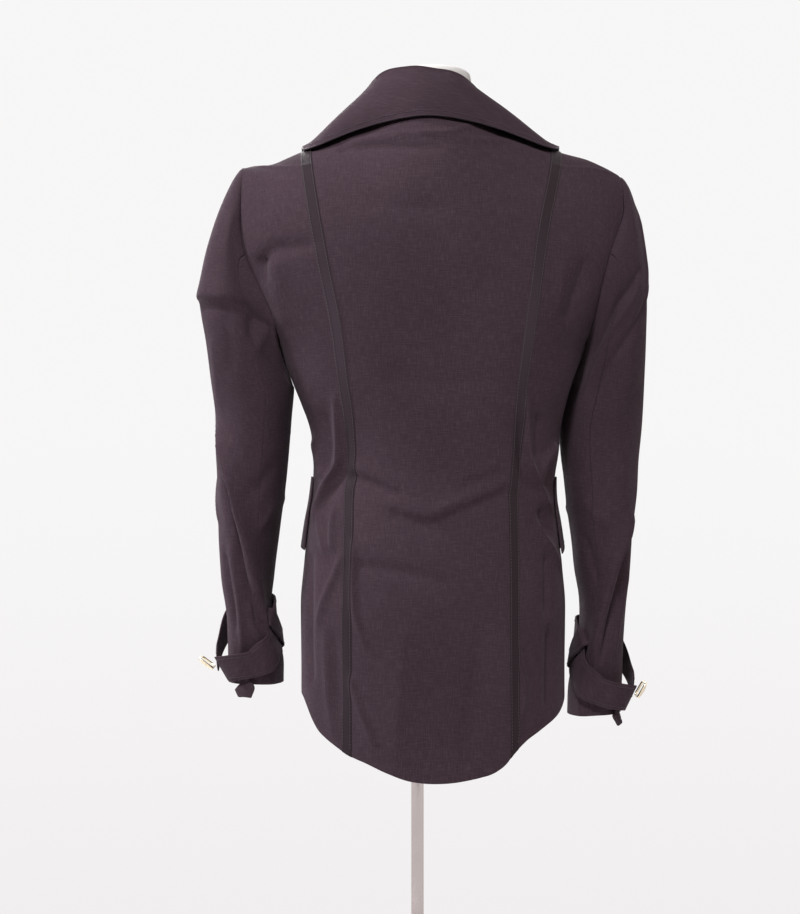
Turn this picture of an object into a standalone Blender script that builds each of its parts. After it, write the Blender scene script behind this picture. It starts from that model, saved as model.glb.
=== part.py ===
"""Short coat on a dress form stand, built with bpy in metres, +Z up, the coat's front facing -Y."""
import math

import bpy
import numpy as np

# Driving sizes
COAT_X = -0.0157
WALL = 0.002
SEAM_GAP = 0.0004
HEM_BACK = 0.689
HEM_SIDE = 0.777
HEM_FRONT = 0.700
UNDERARM_Z = 1.135
BLADE_Z = 1.215
CHEST_Z = 1.185
NECK_X = 0.078
NAPE_Z = 1.400
NAPE_Y = 0.065
BREAK_Z = 1.270
OVERLAP = 0.022
LAP_START = 0.030
SECTION_POWER = 2.3
TAPE_HALF = 0.007
TAPE_WALL = 0.001
SKIRT_ROWS = 14
ARMHOLE_ROWS = 3
YOKE_ROWS = 7
CAP_ROWS = 6
ARM_ROWS = 11
STRAP_WIDTH = 0.030
STRAP_WALL = 0.002
POLE_RADIUS = 0.0068
BASE_RADIUS = 0.145
BASE_THICK = 0.012
FORM_BOTTOM_Z = 0.830
SOCKET_LENGTH = 0.060

# height, half width, back depth, front depth of the body
BODY = (
    (0.660, 0.1425, 0.114, 0.118),
    (0.800, 0.1420, 0.116, 0.120),
    (0.868, 0.1426, 0.118, 0.120),
    (0.917, 0.1385, 0.114, 0.117),
    (0.950, 0.1352, 0.109, 0.113),
    (0.998, 0.1300, 0.100, 0.109),
    (1.014, 0.1310, 0.098, 0.108),
    (1.030, 0.1320, 0.098, 0.109),
    (1.063, 0.1360, 0.101, 0.114),
    (1.095, 0.1460, 0.105, 0.121),
    (1.127, 0.1560, 0.109, 0.129),
    (1.143, 0.1630, 0.111, 0.132),
    (1.170, 0.1780, 0.113, 0.135),
    (1.200, 0.1950, 0.114, 0.135),
    (1.250, 0.2140, 0.114, 0.134),
    (1.300, 0.2220, 0.114, 0.130),
    (1.420, 0.2260, 0.114, 0.126),
)
# half width, height of the shoulder line, per side
SHOULDER = {
    1: ((0.078, 1.387), (0.110, 1.371), (0.1458, 1.355), (0.177, 1.343), (0.204, 1.340)),
    -1: ((0.078, 1.382), (0.110, 1.369), (0.135, 1.358), (0.168, 1.3485), (0.191, 1.338), (0.204, 1.330)),
}
# height, half width of the princess seam, per side
PRINCESS = {
    1: ((0.66, 0.0905), (0.764, 0.0913), (0.840, 0.0913), (0.916, 0.0897), (0.991, 0.0892), (1.066, 0.0913),
        (1.1165, 0.0955), (1.172, 0.1027), (1.209, 0.1106), (1.2465, 0.1178), (1.286, 0.1249), (1.346, 0.1340),
        (1.36, 0.1350)),
    -1: ((0.66, 0.0835), (0.764, 0.0840), (0.916, 0.0840), (0.991, 0.0834), (1.066, 0.0876), (1.116, 0.0949),
         (1.154, 0.1001), (1.190, 0.1048), (1.228, 0.1100), (1.265, 0.1150), (1.304, 0.1234), (1.348, 0.1318),
         (1.36, 0.1325)),
}
# height, half width of the armhole seam at the back, per side
ARMHOLE_BACK = {
    1: ((1.135, 0.1588), (1.143, 0.1610), (1.170, 0.1680), (1.198, 0.1780), (1.230, 0.1940), (1.247, 0.2000),
        (1.274, 0.2040), (1.345, 0.2040)),
    -1: ((1.135, 0.1588), (1.150, 0.1645), (1.174, 0.1715), (1.2147, 0.1800), (1.243, 0.1870), (1.270, 0.1970),
         (1.289, 0.2030), (1.335, 0.2040)),
}
# height, half width of the armhole seam at the front
ARMHOLE_FRONT = (
    (1.135, 0.1588), (1.150, 0.1620), (1.180, 0.1690), (1.220, 0.1790), (1.260, 0.1880), (1.300, 0.1970),
    (1.345, 0.2040),
)
# turn round the body from the centre back in degrees, rise of the hem above its lowest point
HEM_BACK_RISE = {
    1: ((0, 0.0), (7, 0.0020), (17, 0.0104), (27, 0.0204), (36.5, 0.0282), (43, 0.0354), (60, 0.0553), (66, 0.0676),
        (77, 0.0830), (90, 0.0880)),
    -1: ((0, 0.0), (20, 0.0080), (27, 0.0160), (35, 0.0345), (42, 0.0450), (49, 0.0518), (57, 0.0587), (66, 0.0653),
         (74, 0.0730), (90, 0.0880)),
}
# height, sideways shift of the body's section
LEAN = (
    (0.660, -0.0010), (0.950, -0.0007), (0.9975, -0.0012), (1.0137, -0.0029), (1.030, -0.0040), (1.0460, -0.0036),
    (1.0625, -0.0034), (1.080, -0.0020), (1.110, 0.0),
)
HEM_FRONT_RISE = ((0, 0.0), (30, 0.0190), (45, 0.0375), (61, 0.0565), (75, 0.0710), (90, 0.0770))
# height, outer half width, inner half width, half depth, centre y of each sleeve
SLEEVE = {
    1: (
        (1.210, 0.2480, 0.1720, 0.058, 0.004), (1.192, 0.2506, 0.1700, 0.060, 0.002),
        (1.160, 0.2453, 0.1652, 0.060, -0.004), (1.127, 0.2417, 0.1584, 0.060, -0.010),
        (1.095, 0.2373, 0.1492, 0.059, -0.018), (1.080, 0.2354, 0.1508, 0.059, -0.020),
        (1.063, 0.2336, 0.1534, 0.058, -0.022), (1.030, 0.2350, 0.1554, 0.057, -0.024),
        (0.998, 0.2341, 0.1589, 0.056, -0.027), (0.965, 0.2331, 0.1634, 0.055, -0.030),
        (0.933, 0.2323, 0.1679, 0.054, -0.033), (0.900, 0.2306, 0.1718, 0.053, -0.037),
        (0.874, 0.2273, 0.1750, 0.053, -0.040), (0.852, 0.2243, 0.1736, 0.053, -0.042),
        (0.830, 0.2235, 0.1691, 0.053, -0.045), (0.809, 0.2236, 0.1626, 0.053, -0.047),
        (0.770, 0.2227, 0.1622, 0.053, -0.049),
    ),
    -1: (
        (1.210, 0.2330, 0.1740, 0.058, 0.004), (1.192, 0.2315, 0.1720, 0.060, 0.002),
        (1.160, 0.2311, 0.1684, 0.060, -0.006), (1.127, 0.2308, 0.1590, 0.060, -0.014),
        (1.095, 0.2297, 0.1496, 0.059, -0.024), (1.063, 0.2283, 0.1404, 0.058, -0.030),
        (1.046, 0.2259, 0.1400, 0.058, -0.032), (1.030, 0.2249, 0.1415, 0.057, -0.032),
        (0.998, 0.2239, 0.1450, 0.056, -0.032), (0.965, 0.2199, 0.1486, 0.055, -0.032),
        (0.933, 0.2185, 0.1533, 0.054, -0.034), (0.900, 0.2163, 0.1565, 0.053, -0.037),
        (0.868, 0.2125, 0.1618, 0.053, -0.040), (0.852, 0.2101, 0.1619, 0.053, -0.042),
        (0.820, 0.2099, 0.1591, 0.053, -0.045), (0.790, 0.2091, 0.1511, 0.053, -0.048),
        (0.735, 0.2073, 0.1488, 0.053, -0.051),
    ),
}
SLEEVE_HEM = {1: (0.7830, 0.7820), -1: (0.7500, 0.7470)}
# height and turn in degrees, from the outer side towards the back, of the ridge along each sleeve
RIDGE = {
    1: ((0.780, 125), (0.844, 115), (0.886, 108), (0.938, 75), (0.9985, 47), (1.057, 14), (1.100, 0)),
    -1: ((0.740, 125), (0.815, 106), (0.862, 83), (0.9156, 57), (0.958, 23), (1.000, 0)),
}
# reach of the cap's first and last handles at the shoulder, back, underarm and front
CAP_HANDLES = ((0.024, 0.044), (0.020, 0.040), (0.003, 0.008), (0.020, 0.040))
# creases of the body: start x, start z, end x, end z, height, half width; on the back only
CREASES = (
    (0.104, 1.074, 0.102, 1.020, 0.0035, 0.012),
    (0.102, 1.020, 0.124, 0.978, 0.0035, 0.012),
    (0.086, 1.060, 0.085, 1.010, -0.0030, 0.012),
    (0.122, 1.040, 0.118, 1.008, 0.0030, 0.010),
    (-0.100, 1.070, -0.101, 1.028, 0.0035, 0.012),
    (-0.101, 1.028, -0.122, 0.976, 0.0035, 0.012),
    (-0.130, 1.037, -0.116, 1.016, 0.0030, 0.010),
    (-0.112, 0.946, -0.132, 0.905, 0.0030, 0.012),
)
# v, x, y, z of the collar's fold and of its free edge from the centre back to the front end
FOLD = (
    (0.00, 0.000, 0.050, 1.4430), (0.15, 0.034, 0.045, 1.4400), (0.30, 0.054, 0.028, 1.4300),
    (0.45, 0.064, 0.000, 1.4200), (0.60, 0.068, -0.030, 1.4050), (0.70, 0.064, -0.052, 1.3900),
    (0.80, 0.055, -0.076, 1.3680), (0.90, 0.043, -0.098, 1.3400), (1.00, 0.026, -0.118, 1.3080),
)
EDGE = (
    (0.00, 0.000, 0.108, 1.3875), (0.15, 0.040, 0.104, 1.3835), (0.30, 0.084, 0.094, 1.3730),
    (0.40, 0.113, 0.072, 1.3620), (0.50, 0.1350, 0.030, 1.3550), (0.60, 0.1390, -0.015, 1.3500),
    (0.70, 0.138, -0.045, 1.3350), (0.80, 0.128, -0.078, 1.3050), (0.90, 0.108, -0.110, 1.2700),
    (1.00, 0.080, -0.130, 1.2350),
)
COLLAR_SHIFT = 0.015
COLLAR_COLUMNS = 28

FLAP_ROWS = (6, 9)
FLAP_COLUMNS = 5
FLAP_STAND = 0.0024
FLAP_WALL = 0.0015
LOOP_WIDTH = 0.024
LOOP_WALL = 0.0015
TAIL_WIDTH = 0.020
BUCKLE_LONG = 0.034
BUCKLE_SHORT = 0.017
WIRE = 0.003
EYELET_RADIUS = 0.0035
EYELET_HOLE = 0.0020
EYELET_WALL = 0.0008
# turn in degrees from the outer side towards the back, height, standoff, twist in degrees along each strap
STRAP_PATH = {
    1: ((2, 0.8030, 0.0105, 0), (-8, 0.813, 0.0105, 0), (-20, 0.828, 0.0080, 0), (-45, 0.846, 0.0055, 0),
        (-90, 0.857, 0.0035, 0), (-135, 0.862, 0.0025, 0), (-180, 0.857, 0.0025, 0), (-208, 0.842, 0.0032, 0),
        (-233, 0.821, 0.0052, 0), (-261, 0.8076, 0.0080, 10), (-291, 0.803, 0.0100, 14), (-308, 0.801, 0.0110, 22),
        (-320, 0.800, 0.0110, 28)),
    -1: ((2, 0.7750, 0.0115, 0), (-8, 0.784, 0.0110, 0), (-20, 0.798, 0.0070, 0), (-45, 0.815, 0.0040, 0),
         (-90, 0.830, 0.0030, 0), (-135, 0.838, 0.0025, 0), (-180, 0.836, 0.0025, 0), (-209, 0.820, 0.0032, 0),
         (-224, 0.804, 0.0045, 0), (-260, 0.779, 0.0075, 10), (-295, 0.771, 0.0110, 14), (-312, 0.769, 0.0125, 18),
         (-322, 0.768, 0.0125, 22)),
}
TAIL_PATH = {
    1: ((66, 0.7835, 0.0006), (72, 0.780, 0.0014), (80, 0.775, 0.0034), (86, 0.769, 0.0050)),
    -1: ((42, 0.7520, 0.0006), (46, 0.749, 0.0014), (50, 0.744, 0.0034), (54, 0.738, 0.0050)),
}
LOOP_PLACE = {1: (152, 0.842, 0.0068), -1: (151, 0.820, 0.0068)}
BUCKLE_PLACE = {1: (10, 0.8040, 0.0224), -1: (10, 0.7750, 0.0205)}
BUCKLE_RUN = {1: (0.80, 0.60), -1: (0.50, 0.87)}
# height, half width, back depth, front depth, centre y of the dress form
FORM = (
    (0.830, 0.120, 0.096, 0.098, 0.0), (0.900, 0.126, 0.100, 0.102, 0.0), (0.950, 0.122, 0.094, 0.097, 0.0),
    (1.014, 0.114, 0.083, 0.091, 0.0), (1.063, 0.119, 0.086, 0.098, 0.0), (1.127, 0.138, 0.096, 0.116, 0.0),
    (1.170, 0.146, 0.101, 0.120, 0.0), (1.220, 0.154, 0.102, 0.116, 0.0), (1.270, 0.172, 0.098, 0.106, 0.0),
    (1.300, 0.184, 0.092, 0.096, 0.0), (1.320, 0.191, 0.086, 0.088, 0.0), (1.335, 0.196, 0.080, 0.078, 0.0),
    (1.350, 0.196, 0.074, 0.066, 0.0), (1.360, 0.122, 0.070, 0.054, 0.0), (1.367, 0.100, 0.067, 0.048, 0.0),
    (1.374, 0.078, 0.064, 0.043, 0.0), (1.379, 0.066, 0.061, 0.041, 0.0), (1.383, 0.060, 0.058, 0.041, 0.0),
    (1.390, 0.055, 0.053, 0.041, 0.0), (1.400, 0.050, 0.048, 0.041, 0.0), (1.420, 0.044, 0.042, 0.041, 0.0),
    (1.440, 0.041, 0.038, 0.040, 0.0), (1.446, 0.034, 0.031, 0.033, 0.0), (1.449, 0.022, 0.020, 0.022, 0.0),
)
FORM_LEVELS = (
    0.830, 0.865, 0.900, 0.950, 0.985, 1.014, 1.040, 1.063, 1.095, 1.127, 1.160, 1.190, 1.220, 1.250, 1.275, 1.300,
    1.315, 1.325, 1.332, 1.3365, 1.340, 1.345, 1.352, 1.360, 1.367, 1.374, 1.379, 1.383, 1.390, 1.400, 1.420, 1.440,
    1.446, 1.449,
)
FORM_COLUMNS = 32
FORM_DROP = 0.0029
FORM_GAP = 0.0058

# name: colour, roughness, metallic
MATERIALS = {
    "coat_cloth": ((0.060, 0.040, 0.050, 1.0), 0.85, 0.0),
    "seam_tape": ((0.062, 0.050, 0.058, 1.0), 0.65, 0.0),
    "form_cover": ((0.780, 0.760, 0.730, 1.0), 0.80, 0.0),
    "chrome": ((0.620, 0.600, 0.590, 1.0), 0.20, 1.0),
    "pale_gold": ((0.720, 0.600, 0.420, 1.0), 0.28, 1.0),
}


def curve(table, at, column=1, flat=False):
    """Smooth monotone value of one column of a table at `at`; flat starts it with no slope."""
    xs = [row[0] for row in table]
    ys = [row[column] for row in table]
    if xs[0] > xs[-1]:
        xs.reverse()
        ys.reverse()
    if at <= xs[0]:
        return ys[0]
    if at >= xs[-1]:
        return ys[-1]
    i = int(np.searchsorted(xs, at)) - 1
    steps = [(ys[k + 1] - ys[k]) / (xs[k + 1] - xs[k]) for k in range(len(xs) - 1)]

    def slope(k):
        if k == 0:
            return 0.0 if flat else steps[0]
        if k == len(xs) - 1:
            return steps[-1]
        if steps[k - 1] * steps[k] <= 0:
            return 0.0
        return 2 * steps[k - 1] * steps[k] / (steps[k - 1] + steps[k])

    h = xs[i + 1] - xs[i]
    t = (at - xs[i]) / h
    return (ys[i] * (1 + 2 * t) * (1 - t) ** 2 + h * slope(i) * t * (1 - t) ** 2
            + ys[i + 1] * t * t * (3 - 2 * t) + h * slope(i + 1) * t * t * (t - 1))


def unit(v):
    length = np.linalg.norm(v)
    return v / length if length > 1e-12 else v


def arc(x, half):
    """Depth share of the body's section at x."""
    s = min(abs(x) / half, 1.0)
    return max(1 - s ** SECTION_POWER, 0.0) ** (1 / SECTION_POWER)


def turn_to_x(turn, half):
    """x of a section at a turn from the centre, in degrees."""
    return half * math.sin(math.radians(turn)) ** (2 / SECTION_POWER)


def x_to_turn(x, half):
    s = min(abs(x) / half, 1.0)
    return math.degrees(math.asin(s ** (SECTION_POWER / 2)))


def crease(x, z):
    """Height of the back's creases at x, z."""
    total = 0.0
    for x0, z0, x1, z1, height, width in CREASES:
        dx = x1 - x0
        dz = z1 - z0
        length = math.hypot(dx, dz)
        t = ((x - x0) * dx + (z - z0) * dz) / length ** 2
        t = min(max(t, 0.0), 1.0)
        away = math.hypot(x - x0 - t * dx, z - z0 - t * dz)
        total += height * math.exp(-(away / width) ** 2) * (0.6 + 0.4 * math.sin(math.pi * t))
    return total


def shoulder_z(x, side):
    return curve(SHOULDER[side], max(abs(x), NECK_X))


def yoke_back(x, side):
    """Centre y, centre z and last turn of the quarter ellipse above the blades."""
    if abs(x) >= NECK_X:
        return 0.0, shoulder_z(x, side), 90.0
    q = (abs(x) / NECK_X) ** 2
    top = NAPE_Z + (shoulder_z(NECK_X, side) - NAPE_Z) * q
    depth = NAPE_Y * (1 - q)
    last = 90.0 - 35.0 * (1 - q)
    at_blade = curve(BODY, BLADE_Z, 2) * arc(x, curve(BODY, BLADE_Z, 1))
    a = math.radians(last)
    centre_z = BLADE_Z + (top - BLADE_Z) / math.sin(a)
    centre_y = (depth - at_blade * math.cos(a)) / (1 - math.cos(a))
    return centre_y, centre_z, last


def back_y(x, z):
    """y of the coat's back at x, z."""
    side = 1 if x >= 0 else -1
    half = curve(BODY, z, 1)
    if z <= BLADE_Z:
        return curve(BODY, z, 2) * arc(x, half)
    depth = curve(BODY, BLADE_Z, 2) * arc(x, half)
    cy, cz, last = yoke_back(x, side)
    s = min((z - BLADE_Z) / (cz - BLADE_Z), 1.0)
    return cy + (depth - cy) * math.sqrt(1 - s * s)


def front_y(x, z, side):
    """Distance of the coat's front before the centre plane at x, z."""
    half = curve(BODY, z, 1)
    if z <= CHEST_Z:
        return curve(BODY, z, 3) * arc(x, half)
    depth = curve(BODY, CHEST_Z, 3) * arc(x, half)
    cz = shoulder_z(x, side)
    s = min((z - CHEST_Z) / (cz - CHEST_Z), 1.0)
    return depth * math.sqrt(1 - s * s)


def neck_v(xs, side):
    """Height of the front's V neckline at a distance xs from the centre on its own side."""
    if xs < 0:
        return BREAK_Z + 0.3 * xs
    top = shoulder_z(NECK_X, side)
    return BREAK_Z + (top - BREAK_Z) * min(xs / NECK_X, 1.0)


def hem_z(turn, front, side):
    if front:
        return HEM_FRONT + curve(HEM_FRONT_RISE, turn, flat=True)
    return HEM_BACK + curve(HEM_BACK_RISE[side], turn, flat=True)


def row_height(row, hem, base_z):
    """Height of a skirt or armhole row."""
    if row <= SKIRT_ROWS:
        return hem + (UNDERARM_Z - hem) * row / SKIRT_ROWS
    return UNDERARM_Z + (base_z - UNDERARM_Z) * (row - SKIRT_ROWS) / ARMHOLE_ROWS


BODY_ROWS = SKIRT_ROWS + ARMHOLE_ROWS + YOKE_ROWS


def back_point(row, x_of_z, turn_guess, side):
    """Point of the back at a row, with x as a function of height."""
    if row <= SKIRT_ROWS + ARMHOLE_ROWS:
        z = row_height(row, hem_z(turn_guess, False, side), BLADE_Z)
        x = x_of_z(z)
        if row < SKIRT_ROWS:
            for _ in range(3):
                turn = x_to_turn(x, curve(BODY, z, 1))
                z = row_height(row, hem_z(turn, False, side), BLADE_Z)
                x = x_of_z(z)
        y = curve(BODY, z, 2) * arc(x, curve(BODY, z, 1))
        return np.array((side * x, y, z))
    share = (row - SKIRT_ROWS - ARMHOLE_ROWS) / YOKE_ROWS
    z = BLADE_Z + 0.12 * share
    for _ in range(8):
        x = x_of_z(z)
        cy, cz, last = yoke_back(side * x, side)
        a = math.radians(last * share)
        z = BLADE_Z + (cz - BLADE_Z) * math.sin(a)
    depth = curve(BODY, BLADE_Z, 2) * arc(x, curve(BODY, z, 1))
    return np.array((side * x, cy + (depth - cy) * math.cos(a), z))


def back_half(side, shares):
    """Rows by columns of points of the back on one side, at shares of 0 (centre) to 1 (seam) to 2 (side)."""
    grid = np.zeros((BODY_ROWS + 1, len(shares), 3))
    for row in range(BODY_ROWS + 1):
        for k, share in enumerate(shares):
            def x_of_z(z, share=share, row=row):
                seam = curve(PRINCESS[side], z)
                if share <= 1:
                    return seam * share
                half = curve(BODY, z, 1)
                inner = x_to_turn(seam, half)
                outer = 90.0
                if row > SKIRT_ROWS:
                    outer = x_to_turn(curve(ARMHOLE_BACK[side], z), half)
                elif row == SKIRT_ROWS:
                    outer = 90.0
                return turn_to_x(inner + (outer - inner) * (share - 1), half)

            guess = 38 * share if share <= 1 else 38 + 52 * (share - 1)
            point = back_point(row, x_of_z, guess, side)
            lift = crease(point[0], point[2]) * min(1.0, (2 - share) * 4)
            out = unit(np.array((point[0] * 0.8, point[1], 0.0)))
            grid[row, k] = point + out * lift
    return grid


def front_half(side, shares):
    """Rows by columns of the front on one side; shares of 0 (side) to 1 (NECK_X), then 2 + x from the centre."""
    grid = np.zeros((BODY_ROWS + 1, len(shares), 3))
    for row in range(BODY_ROWS + 1):
        for k, share in enumerate(shares):
            z = row_height(min(row, SKIRT_ROWS + ARMHOLE_ROWS), HEM_SIDE, CHEST_Z)
            for _ in range(8):
                half = curve(BODY, z, 1)
                outer = half if row <= SKIRT_ROWS else curve(ARMHOLE_FRONT, z)
                start = x_to_turn(outer, half)
                stop = x_to_turn(NECK_X, half)
                x = share - 2 if share > 1 else turn_to_x(start + (stop - start) * share, half)
                turn = x_to_turn(x, half)
                if row <= SKIRT_ROWS + ARMHOLE_ROWS:
                    z = row_height(row, hem_z(abs(turn), True, side), CHEST_Z)
                    y = curve(BODY, z, 3) * arc(x, half)
                else:
                    cz = shoulder_z(x, side)
                    last = math.pi / 2
                    if x < NECK_X:
                        last = math.asin(min((neck_v(x, side) - CHEST_Z) / (cz - CHEST_Z), 1.0))
                    a = last * (row - SKIRT_ROWS - ARMHOLE_ROWS) / YOKE_ROWS
                    z = CHEST_Z + (cz - CHEST_Z) * math.sin(a)
                    y = curve(BODY, CHEST_Z, 3) * arc(x, half) * math.cos(a)
            grid[row, k] = (side * x, -y, z)
    return grid


def normals(grid, flip=False, closed=False):
    """Normals of a grid by central differences; pointing out when rows rise and columns turn clockwise."""
    rows, cols = grid.shape[:2]
    out = np.zeros_like(grid)
    for i in range(rows):
        for j in range(cols):
            up = grid[min(i + 1, rows - 1), j] - grid[max(i - 1, 0), j]
            if closed:
                along = grid[i, (j + 1) % cols] - grid[i, (j - 1) % cols]
            else:
                along = grid[i, min(j + 1, cols - 1)] - grid[i, max(j - 1, 0)]
            n = unit(np.cross(along, up))
            out[i, j] = -n if flip else n
    return out


def pull_in(points, inner, rows=(False, False), cols=(False, False), gap=SEAM_GAP / 2):
    """Moves the named edges of two matching grids inwards by half a seam gap."""
    for grid in (points, inner):
        if rows[0]:
            grid[0] += np.array([unit(v) for v in grid[1] - grid[0]]) * gap
        if rows[1]:
            grid[-1] += np.array([unit(v) for v in grid[-2] - grid[-1]]) * gap
        if cols[0]:
            grid[:, 0] += np.array([unit(v) for v in grid[:, 1] - grid[:, 0]]) * gap
        if cols[1]:
            grid[:, -1] += np.array([unit(v) for v in grid[:, -2] - grid[:, -1]]) * gap


coat_set = bpy.data.collections.new("short_coat")
cutters = bpy.data.collections.new("cutters")


def clear_scene():
    for item in list(bpy.data.objects):
        bpy.data.objects.remove(item, do_unlink=True)
    bpy.context.scene.collection.children.link(coat_set)
    bpy.context.scene.collection.children.link(cutters)


def material(name, slot):
    """The sub-part's own material, with the finish of its slot."""
    colour, rough, metal = MATERIALS[slot]
    made = bpy.data.materials.new(name + "_" + slot)
    made.use_nodes = True
    shader = made.node_tree.nodes["Principled BSDF"]
    shader.inputs["Base Color"].default_value = colour
    shader.inputs["Roughness"].default_value = rough
    shader.inputs["Metallic"].default_value = metal
    made.diffuse_color = colour
    return made


def outward(verts, faces):
    """Faces turned so that the closed body's volume is positive."""
    total = 0.0
    for face in faces:
        a = verts[face[0]]
        for k in range(1, len(face) - 1):
            total += float(np.dot(a, np.cross(verts[face[k]], verts[face[k + 1]])))
    return faces if total > 0 else [tuple(reversed(face)) for face in faces]


def add_mesh(name, verts, faces, slot, parent, smooth=True):
    mesh = bpy.data.meshes.new(name)
    faces = outward(verts, faces)
    mesh.from_pydata([tuple(v) for v in verts], [], faces)
    mesh.validate()
    mesh.materials.append(material(name, slot))
    if smooth:
        mesh.shade_smooth()
    made = bpy.data.objects.new(name, mesh)
    coat_set.objects.link(made)
    made.parent = parent
    return made


def shell(name, outer, inner, slot, parent):
    """Closed wall between two matching grids."""
    rows, cols = outer.shape[:2]
    verts = np.concatenate((outer.reshape(-1, 3), inner.reshape(-1, 3)))
    half = rows * cols
    faces = []
    for i in range(rows - 1):
        for j in range(cols - 1):
            a = i * cols + j
            faces.append((a, a + 1, a + cols + 1, a + cols))
            faces.append((half + a, half + a + cols, half + a + cols + 1, half + a + 1))
    for j in range(cols - 1):
        a = j
        b = (rows - 1) * cols + j
        faces.append((a, half + a, half + a + 1, a + 1))
        faces.append((b, b + 1, half + b + 1, half + b))
    for i in range(rows - 1):
        a = i * cols
        b = i * cols + cols - 1
        faces.append((a, a + cols, half + a + cols, half + a))
        faces.append((b, half + b, half + b + cols, b + cols))
    return add_mesh(name, verts, faces, slot, parent)


def ring_solid(name, rings, slot, parent):
    """Closed solid through rings of points, the lowest first, each running anticlockwise from above."""
    rows, cols = rings.shape[:2]
    verts = list(rings.reshape(-1, 3))
    faces = []
    for i in range(rows - 1):
        for j in range(cols):
            a = i * cols + j
            b = i * cols + (j + 1) % cols
            faces.append((a, b, b + cols, a + cols))
    low = len(verts)
    verts.append(rings[0].mean(0))
    high = len(verts)
    verts.append(rings[-1].mean(0))
    for j in range(cols):
        faces.append((low, (j + 1) % cols, j))
        last = (rows - 1) * cols
        faces.append((high, last + j, last + (j + 1) % cols))
    return add_mesh(name, verts, faces, slot, parent)


def empty(name, location, parent=None):
    made = bpy.data.objects.new(name, None)
    made.location = location
    coat_set.objects.link(made)
    made.parent = parent
    return made


# Column shares of each panel; the tape's edge is a column of its own
CENTRE_SHARES = (0.0, 0.15, 0.30, 0.44, 0.58, 0.71, 0.82, 0.92, 1.0)
SIDE_STEPS = 6
FRONT_STEPS = 6


def body(parent):
    """The five body panels and the two tapes; returns the armhole rings' points by side."""
    halves = {}
    for side in (1, -1):
        width = curve(PRINCESS[side], 0.9)
        centre = list(CENTRE_SHARES)
        centre[-2] = 1 - TAPE_HALF / width
        centre[4] = NECK_X / curve(PRINCESS[side], 1.36)
        side_shares = [1.0, 1.12] + [1.12 + 0.88 * (k + 1) / (SIDE_STEPS - 1) for k in range(SIDE_STEPS - 1)]
        back = back_half(side, centre + side_shares[1:])
        lap = [2 + x for x in (0.0725, 0.062, 0.046, LAP_START, 0.004, -OVERLAP)]
        front = front_half(side, [k / FRONT_STEPS for k in range(FRONT_STEPS + 1)] + lap)
        back_n = normals(back, flip=(side == -1))
        back_n *= np.sign(np.sum(back_n * (back - np.array((0, 0, 0))) * (1, 1, 0), axis=2))[:, :, None]
        front_n = normals(front, flip=(side == 1))
        front_n *= np.sign(np.sum(front_n * front * (1, 1, 0), axis=2))[:, :, None]
        halves[side] = {"back": back, "back_n": back_n, "front": front, "front_n": front_n}
        for row in range(SKIRT_ROWS + 1):
            shared = unit(back_n[row, -1] + front_n[row, 0])
            back_n[row, -1] = shared
            front_n[row, 0] = shared
        for grid in (back_n, front_n):
            grid[-1] = np.array([unit(v) for v in grid[-1]])
        seam = len(centre) - 1
        halves[side]["seam"] = seam
        for grid, grid_n in ((back, back_n), (front, front_n)):
            for col in range(grid.shape[1]):
                x = abs(grid[-1, col, 0])
                if x >= NECK_X:
                    fall = (shoulder_z(x + 0.004, side) - shoulder_z(x - 0.004, side)) / 0.008
                    grid_n[-1, col] = unit(np.array((-side * fall, 0.0, 1.0)))
            for row in range(SKIRT_ROWS + 1):
                grid[row, :, 0] += [curve(LEAN, z) for z in grid[row, :, 2]]
    left = halves[1]
    right = halves[-1]
    seam = left["seam"]
    centre = np.concatenate((left["back"][:, seam:0:-1], right["back"][:, :seam + 1]), axis=1)
    centre_n = np.concatenate((left["back_n"][:, seam:0:-1], right["back_n"][:, :seam + 1]), axis=1)
    centre_n[:, seam] *= (0, 1, 1)
    centre_n = centre_n / np.linalg.norm(centre_n, axis=2)[:, :, None]
    outer = centre.copy()
    inner = centre - centre_n * WALL
    pull_in(outer, inner, rows=(False, True), cols=(True, True))
    shell("back_centre", outer, inner, "coat_cloth", parent)
    for side, tag in ((1, "L"), (-1, "R")):
        data = halves[side]
        back = data["back"][:, seam:]
        back_n = data["back_n"][:, seam:]
        outer = back.copy()
        inner = back - back_n * WALL
        pull_in(outer, inner, rows=(False, True), cols=(True, True))
        shell("back_side_" + tag, outer, inner, "coat_cloth", parent)
        front = data["front"].copy()
        front_n = data["front_n"]
        if side == -1:
            for row in range(front.shape[0]):
                for col in range(front.shape[1]):
                    share = (front[row, col, 0] + LAP_START + 0.022) / 0.022
                    share = min(max(share, 0.0), 1.0)
                    front[row, col] += front_n[row, col] * (WALL + 0.0013) * share * share * (3 - 2 * share)
        outer = front.copy()
        inner = front - front_n * WALL
        pull_in(outer, inner, rows=(False, True), cols=(True, False))
        shell("front_" + tag, outer, inner, "coat_cloth", parent)
        tape = data["back"][:, seam - 1:seam + 2]
        tape_n = data["back_n"][:, seam - 1:seam + 2]
        low = tape + tape_n * 0.0004
        high = tape + tape_n * (0.0004 + TAPE_WALL)
        pull_in(high, low, rows=(True, True), gap=0.001)
        shell("tape_back_" + tag, high, low, "seam_tape", parent)
    return halves


def sleeve_hem(side, turn):
    outer, inner = SLEEVE_HEM[side]
    return inner + (outer - inner) * (1 + math.cos(turn)) / 2


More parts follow.
